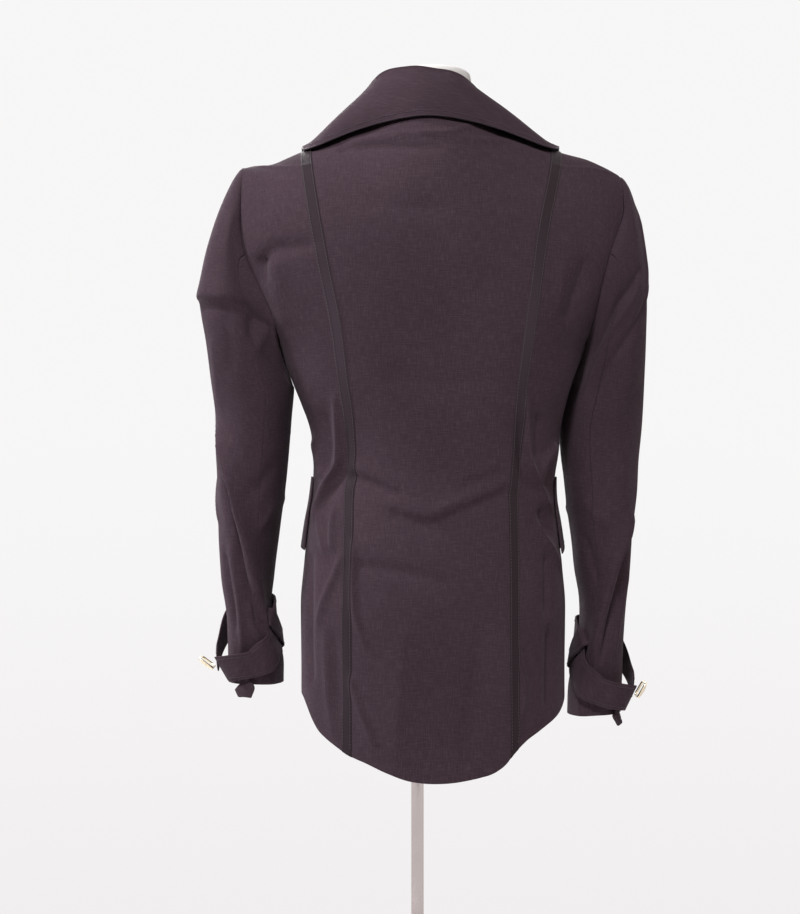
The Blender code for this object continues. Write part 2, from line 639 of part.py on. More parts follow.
def sleeve_ring_point(side, turn, z):
    """Point of the hanging sleeve at a turn from its outer side towards the back."""
    table = SLEEVE[side]
    outer = curve(table, z, 1)
    inner = curve(table, z, 2)
    depth = curve(table, z, 3)
    centre = curve(table, z, 4)
    half = (outer - inner) / 2
    c = math.cos(turn)
    s = math.sin(turn)
    x = (outer + inner) / 2 + half * math.copysign(abs(c) ** 0.9, c)
    y = centre + depth * math.copysign(abs(s) ** 0.95, s)
    ridge = math.radians(curve(RIDGE[side], z))
    fade = min(max((1.12 - z) / 0.08, 0.0), 1.0)
    away = (turn - ridge + math.pi) % (2 * math.pi) - math.pi
    lift = 0.004 * math.exp(-(away / 0.30) ** 2) - 0.003 * math.exp(-((away + 0.62) / 0.30) ** 2)
    wide = lift if lift > 0 else 0.3 * lift
    return np.array((side * (x + wide * fade * c * 0.3), y + lift * fade * s, z))


def sleeve_grid(side, edge):
    """Rows by columns of a whole sleeve from its armhole points to its hem; the columns run round it."""
    count = len(edge)
    grid = np.zeros((CAP_ROWS + ARM_ROWS + 1, count, 3))
    for j in range(count):
        turn = 2 * math.pi * j / count
        c = math.cos(turn)
        s = math.sin(turn)
        weights = (max(c, 0) ** 2, max(s, 0) ** 2, max(-c, 0) ** 2, max(-s, 0) ** 2)
        first = sum(w * h[0] for w, h in zip(weights, CAP_HANDLES))
        second = sum(w * h[1] for w, h in zip(weights, CAP_HANDLES))
        foot_z = 1.100 + 0.086 * (1 + c) / 2
        foot = sleeve_ring_point(side, turn, foot_z)
        below = sleeve_ring_point(side, turn, foot_z - 0.01)
        rise = unit(foot - below)
        go = unit(np.array((side * 1.0, 0.35 * s, -1.10 * max(c, 0))))
        start = edge[j] + go * SEAM_GAP * 1.5
        start[0] += side * 0.0015 * max(c, 0)
        for row in range(CAP_ROWS + 1):
            t = row / CAP_ROWS
            grid[row, j] = ((1 - t) ** 3 * start + 3 * t * (1 - t) ** 2 * (start + go * first)
                            + 3 * t * t * (1 - t) * (foot + rise * second) + t ** 3 * foot)
        for row in range(1, ARM_ROWS + 1):
            z = foot_z + (sleeve_hem(side, turn) - foot_z) * row / ARM_ROWS
            grid[CAP_ROWS + row, j] = sleeve_ring_point(side, turn, z)
    return grid


UNDER_COLUMNS = (6, 14)


def sleeves(halves, parent):
    """Upper and under sleeve of each arm; returns the whole grids and normals by side."""
    made = {}
    for side, tag in ((1, "L"), (-1, "R")):
        data = halves[side]
        back_edge = data["back"][SKIRT_ROWS:, -1]
        front_edge = data["front"][SKIRT_ROWS:, 0]
        edge = list(back_edge[::-1]) + list(front_edge[1:-1])
        grid = sleeve_grid(side, edge)
        n = normals(grid, closed=True)
        centre = grid.mean(axis=1)[:, None, :]
        middle = n[CAP_ROWS + 3:] * (grid - centre)[CAP_ROWS + 3:]
        if middle.sum() < 0:
            n = -n
        outer = grid
        inner = grid - n * WALL
        made[side] = (grid, n)
        first, last = UNDER_COLUMNS
        count = grid.shape[1]
        spans = {
            "sleeve_under_": list(range(first, last + 1)),
            "sleeve_upper_": list(range(last, count)) + list(range(0, first + 1)),
        }
        for name, cols in spans.items():
            o = outer[:, cols].copy()
            i = inner[:, cols].copy()
            pull_in(o, i, cols=(True, True))
            shell(name + tag, o, i, "coat_cloth", parent)
    return made


def neckline(v, side):
    """Point of the coat's neck edge from the centre back at 0 to the front end at 1."""
    if v <= 0.45:
        x = NECK_X * math.sin(math.pi / 2 * v / 0.45)
        q = (x / NECK_X) ** 2
        top = NAPE_Z + (shoulder_z(NECK_X, side) - NAPE_Z) * q
        return np.array((side * x, NAPE_Y * (1 - q), top))
    x = NECK_X + (0.020 - NECK_X) * ((v - 0.45) / 0.55) ** 2
    z = neck_v(x, side)
    return np.array((side * x, -front_y(x, z, side), z))


def clear_of_coat(point, side, gap):
    """The point pushed out until it stands `gap` off the coat's yoke or chest."""
    x = abs(point[0])
    back = point[1] >= 0
    low = BLADE_Z if back else CHEST_Z
    depth = curve(BODY, low, 2 if back else 3) * arc(x, curve(BODY, point[2], 1))
    top = shoulder_z(x, side)
    moved = point.copy()
    for _ in range(80):
        if moved[2] > low:
            n = unit(np.array((0.0, moved[1] / depth ** 2, (moved[2] - low) / (top - low) ** 2)))
        else:
            n = np.array((0.0, 1.0 if back else -1.0, 0.0))
        q = moved - n * gap
        rise = max(q[2] - low, 0.0) / (top - low)
        if (q[1] / depth) ** 2 + rise ** 2 >= 1:
            break
        moved += n * 0.0005
    return moved


def collar_section(v, side):
    """Points from the stand's foot over the fold to the free edge."""
    base = neckline(v, side)
    fold = np.array([curve(FOLD, v, k, flat=k > 1) for k in (1, 2, 3)]) * (side, 1, 1)
    edge = np.array([curve(EDGE, v, k, flat=k > 1) for k in (1, 2, 3)]) * (side, 1, 1)
    if side == -1:
        fold *= (0.93, 1.0, 1.0)
        fold[2] -= 0.0015
    shift = COLLAR_SHIFT * max(0.0, 1 - v / 0.8)
    fold[0] += shift
    edge[0] += shift * 0.4
    out = unit((edge - fold) * (1, 1, 0))
    up = np.array((0.0, 0.0, 1.0))
    foot = base - out * 0.0030 + up * 0.0012
    bend = 0.0045
    inside = fold - out * bend - up * bend
    outside = fold + out * bend * 1.4 - up * bend * 0.7
    bulge = unit(np.cross(np.cross(edge - fold, up), edge - fold)) * 0.004
    fall = [
        outside,
        outside + (edge - outside) * 0.33 + bulge,
        outside + (edge - outside) * 0.67 + bulge * 0.9,
        edge,
    ]
    if v > 0.3:
        fall = [clear_of_coat(point, side, 0.0062) for point in fall]
    return [foot, foot + (inside - foot) * 0.5, inside, fold] + fall


def collar(parent):
    columns = []
    for k in range(COLLAR_COLUMNS + 1):
        v = 2 * k / COLLAR_COLUMNS - 1
        columns.append(collar_section(abs(v), 1 if v >= 0 else -1))
    grid = np.array(columns).transpose(1, 0, 2)
    n = normals(grid)
    if n[3, :, 2].mean() < 0:
        n = -n
    inner = grid - n * WALL
    made = shell("collar", grid, inner, "coat_cloth", parent)
    return made


def flaps(halves, parent):
    """Pocket flaps from the fronts' own points, attached along their tops."""
    for side, tag in ((1, "L"), (-1, "R")):
        rows = slice(FLAP_ROWS[0], FLAP_ROWS[1] + 1)
        cols = slice(0, FLAP_COLUMNS + 1)
        points = halves[side]["front"][rows, cols]
        n = halves[side]["front_n"][rows, cols]
        stand = np.linspace(FLAP_STAND, 0.0006, points.shape[0])[:, None, None]
        low = points + n * stand
        high = low + n * FLAP_WALL
        shell("pocket_flap_" + tag, high, low, "coat_cloth", parent)


def sleeve_normal(side, turn, z):
    a = sleeve_ring_point(side, turn + 0.02, z) - sleeve_ring_point(side, turn - 0.02, z)
    b = sleeve_ring_point(side, turn, z + 0.004) - sleeve_ring_point(side, turn, z - 0.004)
    n = unit(np.cross(a, b))
    centre = (curve(SLEEVE[side], z, 1) + curve(SLEEVE[side], z, 2)) / 2
    middle = np.array((side * centre, curve(SLEEVE[side], z, 4), z))
    return n if np.dot(n, sleeve_ring_point(side, turn, z) - middle) > 0 else -n


def walk(side, turn, z, across, distance):
    """Turn and height reached on a sleeve at a distance along a direction of (round, up)."""
    steps = 6
    for _ in range(steps):
        a = sleeve_ring_point(side, turn + 0.01, z) - sleeve_ring_point(side, turn - 0.01, z)
        pace = np.linalg.norm(a) / 0.02
        turn += across[0] * distance / steps / pace
        z += across[1] * distance / steps
    return turn, z


def band(path, half, wall, side, columns=3):
    """Outer and inner grids of a band that follows the sleeve along stations of turn, height and standoff."""
    count = len(path)
    spots = [(math.radians(row[0]), row[1], row[2], math.radians(row[3]) if len(row) > 3 else 0.0) for row in path]
    outer = np.zeros((count, columns, 3))
    inner = np.zeros((count, columns, 3))
    for k, (turn, z, off, twist) in enumerate(spots):
        before = spots[max(k - 1, 0)]
        after = spots[min(k + 1, count - 1)]
        start = sleeve_ring_point(side, before[0], before[1])
        stop = sleeve_ring_point(side, after[0], after[1])
        flat = np.linalg.norm((stop - start)[:2])
        along = unit(np.array((math.copysign(flat, after[0] - before[0]), after[1] - before[1])))
        across = (-along[1], along[0])
        rise = math.copysign(1.0, across[1])
        for j in range(columns):
            reach = half[k] * (2 * j / (columns - 1) - 1)
            t, h = walk(side, turn, z, across, reach * math.cos(twist))
            n = sleeve_normal(side, t, h)
            inner[k, j] = sleeve_ring_point(side, t, h) + n * (off + reach * rise * math.sin(twist))
            outer[k, j] = inner[k, j] + (n * math.cos(twist) - np.array((0, 0, math.sin(twist)))) * wall
    return outer, inner


def smooth_path(table, steps):
    """Stations along a table of turn, height and standoff, evenly spaced in turn."""
    marks = [(k, *row) for k, row in enumerate(table)]
    last = len(table) - 1
    return [[curve(marks, last * k / steps, c) for c in range(1, len(marks[0]))] for k in range(steps + 1)]


def hoop(name, outer, inner, out, thick, parent, smooth):
    """Closed flat ring between an outer and an inner closed run of points."""
    count = len(outer)
    verts = []
    for o, i in zip(outer, inner):
        verts += [o - out * thick / 2, o + out * thick / 2, i + out * thick / 2, i - out * thick / 2]
    faces = []
    for k in range(count):
        nxt = (k + 1) % count
        for j in range(4):
            faces.append((4 * k + j, 4 * k + (j + 1) % 4, 4 * nxt + (j + 1) % 4, 4 * nxt + j))
    return add_mesh(name, verts, faces, "pale_gold", parent, smooth)


def frame_ring(name, centre, out, run, parent):
    """Rectangular buckle frame, its short side along the strap's run."""
    across = unit(np.cross(run, out))
    corners = ((-1, -1), (1, -1), (1, 1), (-1, 1))
    loops = []
    for grow in (WIRE / 2, -WIRE / 2):
        loops.append([centre + across * sx * (BUCKLE_LONG / 2 + grow) + run * sy * (BUCKLE_SHORT / 2 + grow)
                      for sx, sy in corners])
    hoop(name, loops[0], loops[1], out, WIRE, parent, False)


def eyelet(name, centre, out, parent):
    side = unit(np.cross(out, (0.0, 0.0, 1.0)))
    other = np.cross(out, side)
    loops = []
    for radius in (EYELET_RADIUS, EYELET_HOLE):
        loops.append([centre + side * radius * math.cos(2 * math.pi * k / 16)
                      + other * radius * math.sin(2 * math.pi * k / 16) for k in range(16)])
    hoop(name, loops[0], loops[1], out, EYELET_WALL, parent, True)


def rod(name, start, end, radius, slot, parent, sides=10):
    """Closed straight rod between two points."""
    along = unit(end - start)
    side = unit(np.cross(along, (0.31, 0.17, 0.93)))
    other = np.cross(along, side)
    rings = np.array([
        [p + (side * math.cos(2 * math.pi * k / sides) + other * math.sin(2 * math.pi * k / sides)) * radius
         for k in range(sides)] for p in (start, end)
    ])
    return ring_solid(name, rings, slot, parent)


def cuff(side, tag, parent):
    """Strap, tail, belt loop, buckle, prong and eyelet of one cuff."""
    path = smooth_path(STRAP_PATH[side], 36)
    outer, inner = band(path, [STRAP_WIDTH / 2] * len(path), STRAP_WALL, side)
    shell("cuff_strap_" + tag, outer, inner, "coat_cloth", parent)
    corners = [outer[8, 1], outer[9, 1], outer[9, 2], outer[8, 2]]
    out = unit(np.cross(corners[2] - corners[0], corners[3] - corners[1]))
    out = out if np.dot(out, outer[8, 1] - inner[8, 1]) > 0 else -out
    eyelet("eyelet_" + tag, sum(corners) / 4 + out * (EYELET_WALL / 2 + 0.0006), out, parent)
    tail = smooth_path(TAIL_PATH[side], 8)
    half = [TAIL_WIDTH / 2 * w for w in (1, 1, 1, 1, 1, 0.98, 0.85, 0.55, 0.12)]
    outer, inner = band(tail, half, STRAP_WALL, side, 5)
    shell("strap_tail_" + tag, outer, inner, "coat_cloth", parent)
    turn, z, stand = LOOP_PLACE[side]
    loop = []
    for reach, off in ((-0.0260, 0.0008), (-0.0210, 0.0012), (-0.0170, stand), (0.0, stand + 0.0006),
                       (0.0170, stand), (0.0210, 0.0012), (0.0260, 0.0008)):
        t, h = walk(side, math.radians(turn), z, (-0.707, 0.707), reach)
        loop.append((math.degrees(t), h, off))
    outer, inner = band(loop, [LOOP_WIDTH / 2] * len(loop), LOOP_WALL, side)
    shell("belt_loop_" + tag, outer, inner, "coat_cloth", parent)
    turn, z, off = BUCKLE_PLACE[side]
    t = math.radians(turn)
    out = sleeve_normal(side, t, z)
    centre = sleeve_ring_point(side, t, z) + out * off
    run = np.array((side * BUCKLE_RUN[side][0], 0.0, BUCKLE_RUN[side][1]))
    out = unit(np.array((run[2] * side, 0.0, -abs(run[0]))))
    frame_ring("buckle_" + tag, centre, out, run, parent)
    high = centre + out * (WIRE / 2 + 0.0016)
    rod("buckle_prong_" + tag, high - run * 0.0095, high + run * 0.0095, 0.0012, "pale_gold", parent, 8)


def form(parent):
    """The limbless form inside the coat, touching it only under the shoulders."""
    rings = []
    for z in FORM_LEVELS:
        ring = []
        halves = []
        for side in (1, -1):
            half = curve(FORM, z, 1)
            if z > 1.29:
                steps = np.linspace(0.196, 0.05, 147)
                fits = [x for x in steps if shoulder_z(x, side) - FORM_DROP >= z]
                half = min(half, fits[0]) if fits else half
            halves.append(half)
        for k in range(FORM_COLUMNS):
            a = 2 * math.pi * k / FORM_COLUMNS
            side = 1 if math.cos(a) >= 0 else -1
            half = halves[0] if side == 1 else halves[1]
            x = half * math.cos(a)
            share = math.sqrt(max(1 - (x / half) ** 2, 0.0))
            if math.sin(a) >= 0:
                y = curve(FORM, z, 2) * share
                if z < NAPE_Z - 0.004:
                    y = min(y, max(back_y(x, z + FORM_DROP) - FORM_GAP, 0.0005 * share))
                y += curve(FORM, z, 4)
            else:
                y = curve(FORM, z, 3) * share
                if z < 1.37:
                    y = min(y, max(front_y(abs(x), z + FORM_DROP, side) - 1.6 * FORM_GAP, 0.0005 * share))
                y = -y + curve(FORM, z, 4)
            ring.append((x + curve(LEAN, z), y, z))
        rings.append(ring)
    ring_solid("form_body", np.array(rings), "form_cover", parent)


def lathe(name, profile, slot, parent, location=(0.0, 0.0, 0.0), sides=48):
    """Closed solid turned round the upright axis from a profile of radius and height, the lowest first."""
    rings = np.array([
        [(r * math.cos(2 * math.pi * k / sides) + location[0], r * math.sin(2 * math.pi * k / sides) + location[1],
          z + location[2]) for k in range(sides)] for r, z in profile
    ])
    return ring_solid(name, rings, slot, parent)


def stand():
    top = FORM_BOTTOM_Z - SOCKET_LENGTH
    lathe("stand_base", (
        (BASE_RADIUS - 0.003, 0.0), (BASE_RADIUS, 0.003), (BASE_RADIUS, BASE_THICK - 0.004),
        (BASE_RADIUS - 0.004, BASE_THICK), (0.024, BASE_THICK + 0.002), (0.018, BASE_THICK + 0.006),
        (0.0155, BASE_THICK + 0.030)), "chrome", None)
    foot = BASE_THICK + 0.030 + 0.0003
    lathe("stand_pole", ((POLE_RADIUS, foot), (POLE_RADIUS, top - 0.0003)), "chrome", None, sides=24)
    lathe("pole_socket", (
        (0.012, top), (0.014, top + 0.002), (0.014, top + 0.048), (0.032, top + 0.052),
        (0.032, top + SOCKET_LENGTH - 0.0003)), "chrome", None, sides=32)


def build():
    clear_scene()
    coat = empty("coat_group", (COAT_X, 0.0, 0.0))
    halves = body(coat)
    sleeves(halves, coat)
    collar(coat)
    flaps(halves, coat)
    for side, tag in ((1, "L"), (-1, "R")):
        cuff(side, tag, coat)
    form(coat)
    stand()


build()
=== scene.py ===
"""Looks of the short coat on its dress form stand: cloth, tape, thread, metal, light and camera."""
import math

import bpy
import numpy as np
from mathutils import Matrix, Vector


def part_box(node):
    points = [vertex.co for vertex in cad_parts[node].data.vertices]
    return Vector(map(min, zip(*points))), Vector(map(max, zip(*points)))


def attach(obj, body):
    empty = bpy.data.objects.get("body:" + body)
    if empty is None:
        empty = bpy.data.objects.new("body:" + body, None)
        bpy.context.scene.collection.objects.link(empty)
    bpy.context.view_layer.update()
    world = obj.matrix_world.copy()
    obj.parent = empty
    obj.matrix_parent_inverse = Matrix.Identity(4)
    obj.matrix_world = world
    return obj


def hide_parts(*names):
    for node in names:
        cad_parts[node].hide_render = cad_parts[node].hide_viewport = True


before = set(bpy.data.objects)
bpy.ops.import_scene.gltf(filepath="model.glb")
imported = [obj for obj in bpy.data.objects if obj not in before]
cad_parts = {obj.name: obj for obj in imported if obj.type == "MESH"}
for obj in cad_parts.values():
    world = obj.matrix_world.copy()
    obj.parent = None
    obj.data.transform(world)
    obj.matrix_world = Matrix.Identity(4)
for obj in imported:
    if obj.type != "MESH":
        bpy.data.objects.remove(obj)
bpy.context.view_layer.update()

# Driving sizes, in metres; the coat's own frame is shifted by COAT_X from the stand's
COAT_X = -0.0157
COAT_SHIFT = (COAT_X, 0.0, 0.0)
WALL = 0.002
SEAM_GAP = 0.0004
HEM_BACK = 0.689
HEM_SIDE = 0.777
HEM_FRONT = 0.700
UNDERARM_Z = 1.135
BLADE_Z = 1.215
CHEST_Z = 1.185
NECK_X = 0.078
NAPE_Z = 1.400
NAPE_Y = 0.065
BREAK_Z = 1.270
OVERLAP = 0.022
LAP_START = 0.030
SECTION_POWER = 2.3
TAPE_HALF = 0.007
SKIRT_ROWS = 14
ARMHOLE_ROWS = 3
YOKE_ROWS = 7
CAP_ROWS = 6
ARM_ROWS = 11
STRAP_WIDTH = 0.030
STRAP_WALL = 0.002
POLE_RADIUS = 0.0068
BASE_RADIUS = 0.145
BASE_THICK = 0.012
FORM_BOTTOM_Z = 0.830
SOCKET_LENGTH = 0.060

# height, half width, back depth, front depth of the body
BODY = (
    (0.66, 0.1425, 0.114, 0.118), (0.8, 0.142, 0.116, 0.12), (0.868, 0.1426, 0.118, 0.12),
    (0.917, 0.1385, 0.114, 0.117), (0.95, 0.1352, 0.109, 0.113), (0.998, 0.13, 0.1, 0.109),
    (1.014, 0.131, 0.098, 0.108), (1.03, 0.132, 0.098, 0.109), (1.063, 0.136, 0.101, 0.114),
    (1.095, 0.146, 0.105, 0.121), (1.127, 0.156, 0.109, 0.129), (1.143, 0.163, 0.111, 0.132),
    (1.17, 0.178, 0.113, 0.135), (1.2, 0.195, 0.114, 0.135), (1.25, 0.214, 0.114, 0.134),
    (1.3, 0.222, 0.114, 0.13), (1.42, 0.226, 0.114, 0.126),
)
# half width, height of the shoulder line, per side
SHOULDER = {
    1: ((0.078, 1.387), (0.11, 1.371), (0.1458, 1.355), (0.177, 1.343), (0.204, 1.34)),
    -1: ((0.078, 1.382), (0.11, 1.369), (0.135, 1.358), (0.168, 1.3485), (0.191, 1.338), (0.204, 1.33)),
}
# height, half width of the princess seam, per side
PRINCESS = {
    1: (
        (0.66, 0.0905), (0.764, 0.0913), (0.84, 0.0913), (0.916, 0.0897), (0.991, 0.0892), (1.066, 0.0913),
        (1.1165, 0.0955), (1.172, 0.1027), (1.209, 0.1106), (1.2465, 0.1178), (1.286, 0.1249),
        (1.346, 0.134), (1.36, 0.135),
    ),
    -1: (
        (0.66, 0.0835), (0.764, 0.084), (0.916, 0.084), (0.991, 0.0834), (1.066, 0.0876), (1.116, 0.0949),
        (1.154, 0.1001), (1.19, 0.1048), (1.228, 0.11), (1.265, 0.115), (1.304, 0.1234), (1.348, 0.1318),
        (1.36, 0.1325),
    ),
}
# height, half width of the armhole seam at the back, per side
ARMHOLE_BACK = {
    1: (
        (1.135, 0.1588), (1.143, 0.161), (1.17, 0.168), (1.198, 0.178), (1.23, 0.194), (1.247, 0.2),
        (1.274, 0.204), (1.345, 0.204),
    ),
    -1: (
        (1.135, 0.1588), (1.15, 0.1645), (1.174, 0.1715), (1.2147, 0.18), (1.243, 0.187), (1.27, 0.197),
        (1.289, 0.203), (1.335, 0.204),
    ),
}
# height, half width of the armhole seam at the front
ARMHOLE_FRONT = (
    (1.135, 0.1588), (1.15, 0.162), (1.18, 0.169), (1.22, 0.179), (1.26, 0.188), (1.3, 0.197),
    (1.345, 0.204),
)
# turn round the body from the centre back in degrees, rise of the hem above its lowest point
HEM_BACK_RISE = {
    1: (
        (0, 0.0), (7, 0.002), (17, 0.0104), (27, 0.0204), (36.5, 0.0282), (43, 0.0354), (60, 0.0553),
        (66, 0.0676), (77, 0.083), (90, 0.088),
    ),
    -1: (
        (0, 0.0), (20, 0.008), (27, 0.016), (35, 0.0345), (42, 0.045), (49, 0.0518), (57, 0.0587),
        (66, 0.0653), (74, 0.073), (90, 0.088),
    ),
}
# height, sideways shift of the body's section
LEAN = (
    (0.66, -0.001), (0.95, -0.0007), (0.9975, -0.0012), (1.0137, -0.0029), (1.03, -0.004), (1.046, -0.0036),
    (1.0625, -0.0034), (1.08, -0.002), (1.11, 0.0),
)
HEM_FRONT_RISE = ((0, 0.0), (30, 0.019), (45, 0.0375), (61, 0.0565), (75, 0.071), (90, 0.077))
# height, outer half width, inner half width, half depth, centre y of each sleeve
SLEEVE = {
    1: (
        (1.21, 0.248, 0.172, 0.058, 0.004), (1.192, 0.2506, 0.17, 0.06, 0.002),
        (1.16, 0.2453, 0.1652, 0.06, -0.004), (1.127, 0.2417, 0.1584, 0.06, -0.01),
        (1.095, 0.2373, 0.1492, 0.059, -0.018), (1.08, 0.2354, 0.1508, 0.059, -0.02),
        (1.063, 0.2336, 0.1534, 0.058, -0.022), (1.03, 0.235, 0.1554, 0.057, -0.024),
        (0.998, 0.2341, 0.1589, 0.056, -0.027), (0.965, 0.2331, 0.1634, 0.055, -0.03),
        (0.933, 0.2323, 0.1679, 0.054, -0.033), (0.9, 0.2306, 0.1718, 0.053, -0.037),
        (0.874, 0.2273, 0.175, 0.053, -0.04), (0.852, 0.2243, 0.1736, 0.053, -0.042),
        (0.83, 0.2235, 0.1691, 0.053, -0.045), (0.809, 0.2236, 0.1626, 0.053, -0.047),
        (0.77, 0.2227, 0.1622, 0.053, -0.049),
    ),
    -1: (
        (1.21, 0.233, 0.174, 0.058, 0.004), (1.192, 0.2315, 0.172, 0.06, 0.002),
        (1.16, 0.2311, 0.1684, 0.06, -0.006), (1.127, 0.2308, 0.159, 0.06, -0.014),
        (1.095, 0.2297, 0.1496, 0.059, -0.024), (1.063, 0.2283, 0.1404, 0.058, -0.03),
        (1.046, 0.2259, 0.14, 0.058, -0.032), (1.03, 0.2249, 0.1415, 0.057, -0.032),
        (0.998, 0.2239, 0.145, 0.056, -0.032), (0.965, 0.2199, 0.1486, 0.055, -0.032),
        (0.933, 0.2185, 0.1533, 0.054, -0.034), (0.9, 0.2163, 0.1565, 0.053, -0.037),
        (0.868, 0.2125, 0.1618, 0.053, -0.04), (0.852, 0.2101, 0.1619, 0.053, -0.042),
        (0.82, 0.2099, 0.1591, 0.053, -0.045), (0.79, 0.2091, 0.1511, 0.053, -0.048),
        (0.735, 0.2073, 0.1488, 0.053, -0.051),
    ),
}
SLEEVE_HEM = {1: (0.783, 0.782), -1: (0.75, 0.747)}
# height and turn in degrees, from the outer side towards the back, of the ridge along each sleeve
RIDGE = {
    1: ((0.78, 125), (0.844, 115), (0.886, 108), (0.938, 75), (0.9985, 47), (1.057, 14), (1.1, 0)),
    -1: ((0.74, 125), (0.815, 106), (0.862, 83), (0.9156, 57), (0.958, 23), (1.0, 0)),
}
# reach of the cap's first and last handles at the shoulder, back, underarm and front
CAP_HANDLES = ((0.024, 0.044), (0.02, 0.04), (0.003, 0.008), (0.02, 0.04))
# v, x, y, z of the collar's fold and of its free edge from the centre back to the front end
FOLD = (
    (0.0, 0.0, 0.05, 1.443), (0.15, 0.034, 0.045, 1.44), (0.3, 0.054, 0.028, 1.43),
    (0.45, 0.064, 0.0, 1.42), (0.6, 0.068, -0.03, 1.405), (0.7, 0.064, -0.052, 1.39),
    (0.8, 0.055, -0.076, 1.368), (0.9, 0.043, -0.098, 1.34), (1.0, 0.026, -0.118, 1.308),
)
EDGE = (
    (0.0, 0.0, 0.108, 1.3875), (0.15, 0.04, 0.104, 1.3835), (0.3, 0.084, 0.094, 1.373),
    (0.4, 0.113, 0.072, 1.362), (0.5, 0.135, 0.03, 1.355), (0.6, 0.139, -0.015, 1.35),
    (0.7, 0.138, -0.045, 1.335), (0.8, 0.128, -0.078, 1.305), (0.9, 0.108, -0.11, 1.27),
    (1.0, 0.08, -0.13, 1.235),
)
COLLAR_SHIFT = 0.015
COLLAR_COLUMNS = 28

FLAP_ROWS = (6, 9)
FLAP_STAND = 0.0024
FLAP_WALL = 0.0015
LOOP_WIDTH = 0.024
LOOP_WALL = 0.0015
TAIL_WIDTH = 0.020
BUCKLE_LONG = 0.034
BUCKLE_SHORT = 0.017
WIRE = 0.003
EYELET_RADIUS = 0.0035
EYELET_HOLE = 0.0020
BUCKLE_CORNER = 0.004
PRONG_RADIUS = 0.0012
# turn in degrees from the outer side towards the back, height, standoff, twist in degrees along each strap
STRAP_PATH = {
    1: (
        (2, 0.803, 0.0105, 0), (-8, 0.813, 0.0105, 0), (-20, 0.828, 0.008, 0), (-45, 0.846, 0.0055, 0),
        (-90, 0.857, 0.0035, 0), (-135, 0.862, 0.0025, 0), (-180, 0.857, 0.0025, 0),
        (-208, 0.842, 0.0032, 0), (-233, 0.821, 0.0052, 0), (-261, 0.8076, 0.008, 10),
        (-291, 0.803, 0.01, 14), (-308, 0.801, 0.011, 22), (-320, 0.8, 0.011, 28),
    ),
    -1: (
        (2, 0.775, 0.0115, 0), (-8, 0.784, 0.011, 0), (-20, 0.798, 0.007, 0), (-45, 0.815, 0.004, 0),
        (-90, 0.83, 0.003, 0), (-135, 0.838, 0.0025, 0), (-180, 0.836, 0.0025, 0), (-209, 0.82, 0.0032, 0),
        (-224, 0.804, 0.0045, 0), (-260, 0.779, 0.0075, 10), (-295, 0.771, 0.011, 14),
        (-312, 0.769, 0.0125, 18), (-322, 0.768, 0.0125, 22),
    ),
}
TAIL_PATH = {
    1: ((66, 0.7835, 0.0006), (72, 0.78, 0.0014), (80, 0.775, 0.0034), (86, 0.769, 0.005)),
    -1: ((42, 0.752, 0.0006), (46, 0.749, 0.0014), (50, 0.744, 0.0034), (54, 0.738, 0.005)),
}
LOOP_PLACE = {1: (152, 0.842, 0.0068), -1: (151, 0.82, 0.0068)}
BUCKLE_PLACE = {1: (10, 0.804, 0.0224), -1: (10, 0.775, 0.0205)}
BUCKLE_RUN = {1: (0.8, 0.6), -1: (0.5, 0.87)}
# height, half width, back depth, front depth of the dress form
FORM = (
    (0.83, 0.12, 0.096, 0.098), (0.9, 0.126, 0.1, 0.102), (0.95, 0.122, 0.094, 0.097),
    (1.014, 0.114, 0.083, 0.091), (1.063, 0.119, 0.086, 0.098), (1.127, 0.138, 0.096, 0.116),
    (1.17, 0.146, 0.101, 0.12), (1.22, 0.154, 0.102, 0.116), (1.27, 0.172, 0.098, 0.106),
    (1.3, 0.184, 0.092, 0.096), (1.32, 0.191, 0.086, 0.088), (1.335, 0.196, 0.08, 0.078),
    (1.35, 0.196, 0.074, 0.066), (1.36, 0.122, 0.07, 0.054), (1.367, 0.1, 0.067, 0.048),
    (1.374, 0.078, 0.064, 0.043), (1.379, 0.066, 0.061, 0.041), (1.383, 0.06, 0.058, 0.041),
    (1.39, 0.055, 0.053, 0.041), (1.4, 0.05, 0.048, 0.041), (1.42, 0.044, 0.042, 0.041),
    (1.44, 0.041, 0.038, 0.04), (1.446, 0.034, 0.031, 0.033), (1.449, 0.022, 0.02, 0.022),
)
FORM_LEVELS = (
    0.83, 0.865, 0.9, 0.95, 0.985, 1.014, 1.04, 1.063, 1.095, 1.127, 1.16, 1.19, 1.22, 1.25, 1.275, 1.3,
    1.315, 1.325, 1.332, 1.3365, 1.34, 1.345, 1.352, 1.36, 1.367, 1.374, 1.379, 1.383, 1.39, 1.4, 1.42,
    1.44, 1.446, 1.449,
)
FORM_COLUMNS = 32
FORM_DROP = 0.0029
FORM_GAP = 0.0058

